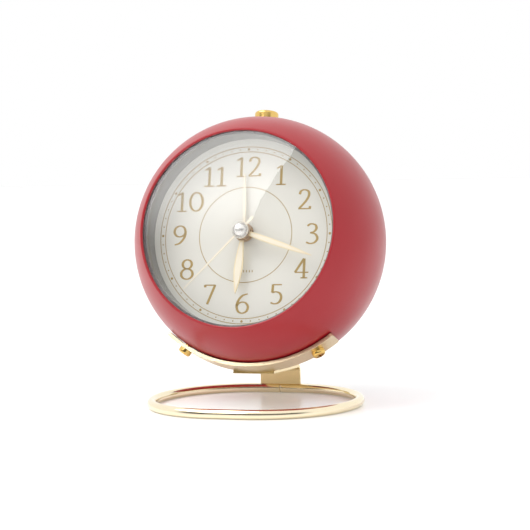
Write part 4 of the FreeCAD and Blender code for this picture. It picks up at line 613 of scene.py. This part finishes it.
def makePrinting():
    # rings, minute dots, hour figures and a row of plain bars, all one thin raised piece
    points, faces = [], []

    def add(p, f):
        start = sum(len(q) for q in points)
        points.append(np.asarray(p).reshape(-1, 3))
        faces.extend([[start + int(k) for k in face] for face in f])

    for radius in (printing["trackOut"], printing["trackIn"], printing["innerCircle"]):
        add(*flatBand(radius - printing["line"], radius + printing["line"],
                      printing["around"]))
    for minute in range(60):
        a = math.radians(6 * minute)
        size = printing["bigDot"] if minute % 5 == 0 else printing["dot"]
        top = dialFace + printing["ink"]
        disc = turnedPoints([[0, dialFace], [size, dialFace], [size * printing["dotTop"], top], [0, top]],
                            printing["dotAround"])
        disc = disc + np.array([math.sin(a), math.cos(a), 0]) * printing["dotRing"]
        add(disc, gridFaces(4, printing["dotAround"], closeColumns=True))
    high = printing["figureHeight"]
    for hour in range(1, 13):
        a = math.radians(30 * hour)
        digits = str(hour)
        space = printing["space"]
        widths = [figureStrokes[d][0] * figureStretch[d] for d in digits]
        wide = sum(widths) + space * (len(digits) - 1)
        corner = np.array([math.sin(a) * printing["figureRing"] - wide * high / 2,
                           math.cos(a) * printing["figureRing"] - high / 2, dialFace])
        for digit, width in zip(digits, widths):
            for line in figureStrokes[digit][1]:
                stretched = [(x * figureStretch[digit], y) for x, y in line]
                p, f = penStroke(stretched, printing["thick"], printing["thin"])
                add(p * np.array([high, high, printing["ink"]]) + corner, f)
            corner[0] += (width + space) * high
    half = printing["barHalf"]
    for k in range(-printing["barsEachSide"], printing["barsEachSide"] + 1):
        x = k * printing["barStep"]
        p, f = penStroke([(x, -half), (x, half)], printing["barThick"], printing["barThick"])
        add(p * np.array([mm, mm, printing["ink"]]) + np.array([0, -printing["barsBelow"], dialFace]), f)
    spin = math.radians(printing["turn"])
    flat = np.concatenate(points)
    across = flat[:, 0] * math.cos(spin) + flat[:, 1] * math.sin(spin)
    upwards = flat[:, 1] * math.cos(spin) - flat[:, 0] * math.sin(spin) - printing["drop"]
    turned = np.stack([across, upwards, flat[:, 2]], -1)
    piece = meshPiece("dial_printing", inClock(turned), faces, dialGilt, smooth=False)
    tidyNormals(piece)


makePrinting()

hubs = {"alarm_hand": ("alarm_train", 3.7 * mm), "hour_hand": ("hour_train", 3.5 * mm),
        "minute_hand": ("minute_train", 3.3 * mm), "second_hand": ("second_train", 3.1 * mm)}
collar = {"below": 0.35 * mm, "above": 0.5 * mm, "round": 0.18 * mm, "bore": 1.0 * mm, "around": 48,
          "curveSteps": 5}


def makeHubs():
    # turned collars on the hands' hub discs, each a ring with rounded corners
    for node, (body, radius) in hubs.items():
        low, high = reach(node, outOfDial)
        outer = radius
        bore = collar["bore"]
        steps = collar["curveSteps"]
        bottom = low - collar["below"]
        top = high + collar["above"]
        curve = collar["round"]
        profile = np.concatenate([[[bore, bottom]],
                                  arcProfile((outer - curve, bottom + curve), curve, -90, 0, steps),
                                  arcProfile((outer - curve, top - curve), curve, 0, 90, steps),
                                  [[bore, top]]])
        if node == "second_hand":
            # the cap sits on this hand, so its collar stops under the hand
            profile[:, 1] = np.minimum(profile[:, 1], low)
        turnedPiece(node + "_collar", profile, collar["around"], hubGold, body)


makeHubs()
print("dial printed")

floorLook = {"reach": 3.0, "colour": (0.9, 0.9, 0.9, 1), "roughness": 0.25, "specular": 0.35, "glow": 0.12}
far = floorLook["reach"]
floorGrid = np.array([[-far, -far, 0], [far, -far, 0], [far, far, 0], [-far, far, 0]])
floor = meshPiece("floor", floorGrid, [[0, 1, 2, 3]], None, body=None, smooth=False)
floorMaterial = bpy.data.materials.new("paleFloor")
floorMaterial.use_nodes = True
floorShader = floorMaterial.node_tree.nodes["Principled BSDF"]
floorShader.inputs["Base Color"].default_value = floorLook["colour"]
floorShader.inputs["Roughness"].default_value = floorLook["roughness"]
floorShader.inputs["Specular IOR Level"].default_value = floorLook["specular"]
floorShader.inputs["Emission Color"].default_value = (1, 1, 1, 1)
floorShader.inputs["Emission Strength"].default_value = floorLook["glow"]
floor.data.materials.append(floorMaterial)

studio = {"bright": 1.0, "glossBright": 1.08, "glossDark": 0.12, "sideWide": 0.30, "sideNarrow": 0.70,
          "darkTop": 0.42, "brightFrom": 0.54}


def makeWorld():
    # white all round; in reflections a low zone on the side the clock faces falls off to dark
    world = bpy.data.worlds.new("studio")
    bpy.context.scene.world = world
    world.use_nodes = True
    tree = world.node_tree
    background = tree.nodes["Background"]
    place = addNode(tree, "ShaderNodeTexCoord")
    facing = addNode(tree, "ShaderNodeVectorMath", {1: (0.0, -1.0, 0.0)}, operation="DOT_PRODUCT")
    rising = addNode(tree, "ShaderNodeVectorMath", {1: (0.0, 0.0, 1.0)}, operation="DOT_PRODUCT")
    ahead = addNode(tree, "ShaderNodeMapRange",
                    {"From Min": studio["sideWide"], "From Max": studio["sideNarrow"]},
                    interpolation_type="SMOOTHSTEP")
    low = addNode(tree, "ShaderNodeMapRange",
                  {"From Min": studio["darkTop"], "From Max": studio["brightFrom"],
                   "To Min": 1.0, "To Max": 0.0},
                  interpolation_type="SMOOTHSTEP")
    both = addNode(tree, "ShaderNodeMath", operation="MULTIPLY")
    tone = addNode(tree, "ShaderNodeMapRange",
                   {"To Min": studio["glossBright"], "To Max": studio["glossDark"]})
    path = addNode(tree, "ShaderNodeLightPath")
    choose = addNode(tree, "ShaderNodeMix", {"A": studio["bright"]}, data_type="FLOAT")
    link = tree.links.new
    link(place.outputs["Generated"], facing.inputs[0])
    link(place.outputs["Generated"], rising.inputs[0])
    link(facing.outputs["Value"], ahead.inputs["Value"])
    link(rising.outputs["Value"], low.inputs["Value"])
    link(ahead.outputs["Result"], both.inputs[0])
    link(low.outputs["Result"], both.inputs[1])
    link(both.outputs["Value"], tone.inputs["Value"])
    link(path.outputs["Is Glossy Ray"], choose.inputs["Factor"])
    link(tone.outputs["Result"], choose.inputs["B"])
    link(choose.outputs["Result"], background.inputs["Strength"])
    background.inputs["Color"].default_value = (1, 1, 1, 1)


makeWorld()
ballPoint = Vector(ballCentre)


def softbox(name, place, aim, width, height, power):
    lamp = bpy.data.lights.new(name, "AREA")
    lamp.shape = "RECTANGLE"
    lamp.size = width
    lamp.size_y = height
    lamp.energy = power
    thing = bpy.data.objects.new(name, lamp)
    bpy.context.scene.collection.objects.link(thing)
    thing.location = place
    thing.rotation_euler = (Vector(aim) - Vector(place)).to_track_quat("-Z", "Y").to_euler()
    return thing


key = {"from": (-0.55, -0.30, 0.95), "size": 0.8, "power": 8.0}
softbox("keyLight", ballPoint + Vector(key["from"]), ballPoint, key["size"], key["size"], key["power"])

card = {"edge": [(-14.0, 2.0), (-6.0, 4.6), (-2.8, 5.2), (2.3, 5.9), (6.9, 7.3), (12.0, 9.4), (16.6, 12.4),
                 (21.6, 15.3), (27.4, 19.8), (32.0, 22.4), (46.0, 31.0)],
        "left": -46.0, "away": 0.55, "glow": 6.5, "fadeLow": -9.0, "fadeHigh": 16.0, "columns": 14,
        "rows": 25}
lensFace = reach("lens", outOfDial)[1]


def makeCard():
    # a lit card where the pane mirrors it over the upper left of the dial, seen by reflections only
    eye = cameraPlace()
    edge = np.array(card["edge"])
    v = np.linspace(edge[0, 0], edge[-1, 0], card["rows"])
    right = np.interp(v, edge[:, 0], edge[:, 1])
    share = np.linspace(0, 1, card["columns"])
    u = card["left"] + (right[:, None] - card["left"]) * share
    rows = np.broadcast_to(v[:, None], u.shape)
    grid = inClock(np.stack([u * mm, rows * mm, np.full(u.shape, lensFace)], -1))
    sight = grid - eye
    sight /= np.linalg.norm(sight, axis=-1)[..., None]
    bounce = sight - 2 * (sight @ outOfDial)[..., None] * outOfDial
    middle = ballCentre + outOfDial * lensFace
    straight = (middle - eye) / np.linalg.norm(middle - eye)
    facing = straight - 2 * (straight @ outOfDial) * outOfDial
    along = ((middle + facing * card["away"] - grid) @ facing) / (bounce @ facing)
    points = grid + bounce * along[..., None]
    thing = meshPiece("card", points, gridFaces(len(v), card["columns"]), None, body=None, smooth=False)
    fade = np.clip((v - card["fadeLow"]) / (card["fadeHigh"] - card["fadeLow"]), 0, 1)
    fade = np.repeat(fade * fade * (3 - 2 * fade), card["columns"])
    glow = thing.data.attributes.new("glow", "FLOAT", "POINT")
    glow.data.foreach_set("value", fade)
    material = bpy.data.materials.new("cardGlow")
    material.use_nodes = True
    tree = material.node_tree
    shader = tree.nodes["Principled BSDF"]
    shader.inputs["Base Color"].default_value = (0, 0, 0, 1)
    shader.inputs["Specular IOR Level"].default_value = 0.0
    shader.inputs["Emission Strength"].default_value = card["glow"]
    value = addNode(tree, "ShaderNodeAttribute", attribute_name="glow")
    see = addNode(tree, "ShaderNodeBsdfTransparent")
    blend = addNode(tree, "ShaderNodeMixShader")
    shader.inputs["Emission Color"].default_value = (1, 1, 1, 1)
    tree.links.new(value.outputs["Fac"], blend.inputs["Fac"])
    tree.links.new(see.outputs["BSDF"], blend.inputs[1])
    tree.links.new(shader.outputs["BSDF"], blend.inputs[2])
    tree.links.new(blend.outputs["Shader"], tree.nodes["Material Output"].inputs["Surface"])
    thing.data.materials.append(material)
    thing.visible_camera = False
    thing.visible_diffuse = False
    thing.visible_shadow = False
    thing.visible_transmission = False


view = {"around": 17.68, "away": 0.700, "above": 42.56 * mm, "focal": 1761.45, "yaw": -0.13, "pitch": -4.22,
        "roll": -1.5, "frame": 530.0, "sensor": 36.0}


def cameraPlace():
    around = math.radians(view["around"])
    away = view["away"]
    return ballCentre + np.array([math.sin(around) * away, -math.cos(around) * away, view["above"]])


def makeCamera():
    around = math.radians(view["around"])
    turn = around + math.radians(view["yaw"])
    pitch = math.radians(view["pitch"])
    roll = math.radians(view["roll"])
    place = Vector(cameraPlace())
    forward = Vector((-math.sin(turn) * math.cos(pitch), math.cos(turn) * math.cos(pitch), math.sin(pitch)))
    right = Vector((math.cos(turn), math.sin(turn), 0))
    up = right.cross(forward)
    rolledRight = right * math.cos(roll) + up * math.sin(roll)
    rolledUp = up * math.cos(roll) - right * math.sin(roll)
    data = bpy.data.cameras.new("camera")
    data.sensor_width = view["sensor"]
    data.lens = view["focal"] / view["frame"] * view["sensor"]
    camera = bpy.data.objects.new("camera", data)
    bpy.context.scene.collection.objects.link(camera)
    turnMatrix = Matrix((rolledRight, rolledUp, -forward)).transposed()
    camera.matrix_world = Matrix.Translation(place) @ turnMatrix.to_4x4()
    bpy.context.scene.camera = camera


makeCamera()
makeCard()
bpy.context.scene.view_settings.view_transform = "Standard"
print("camera and light set")
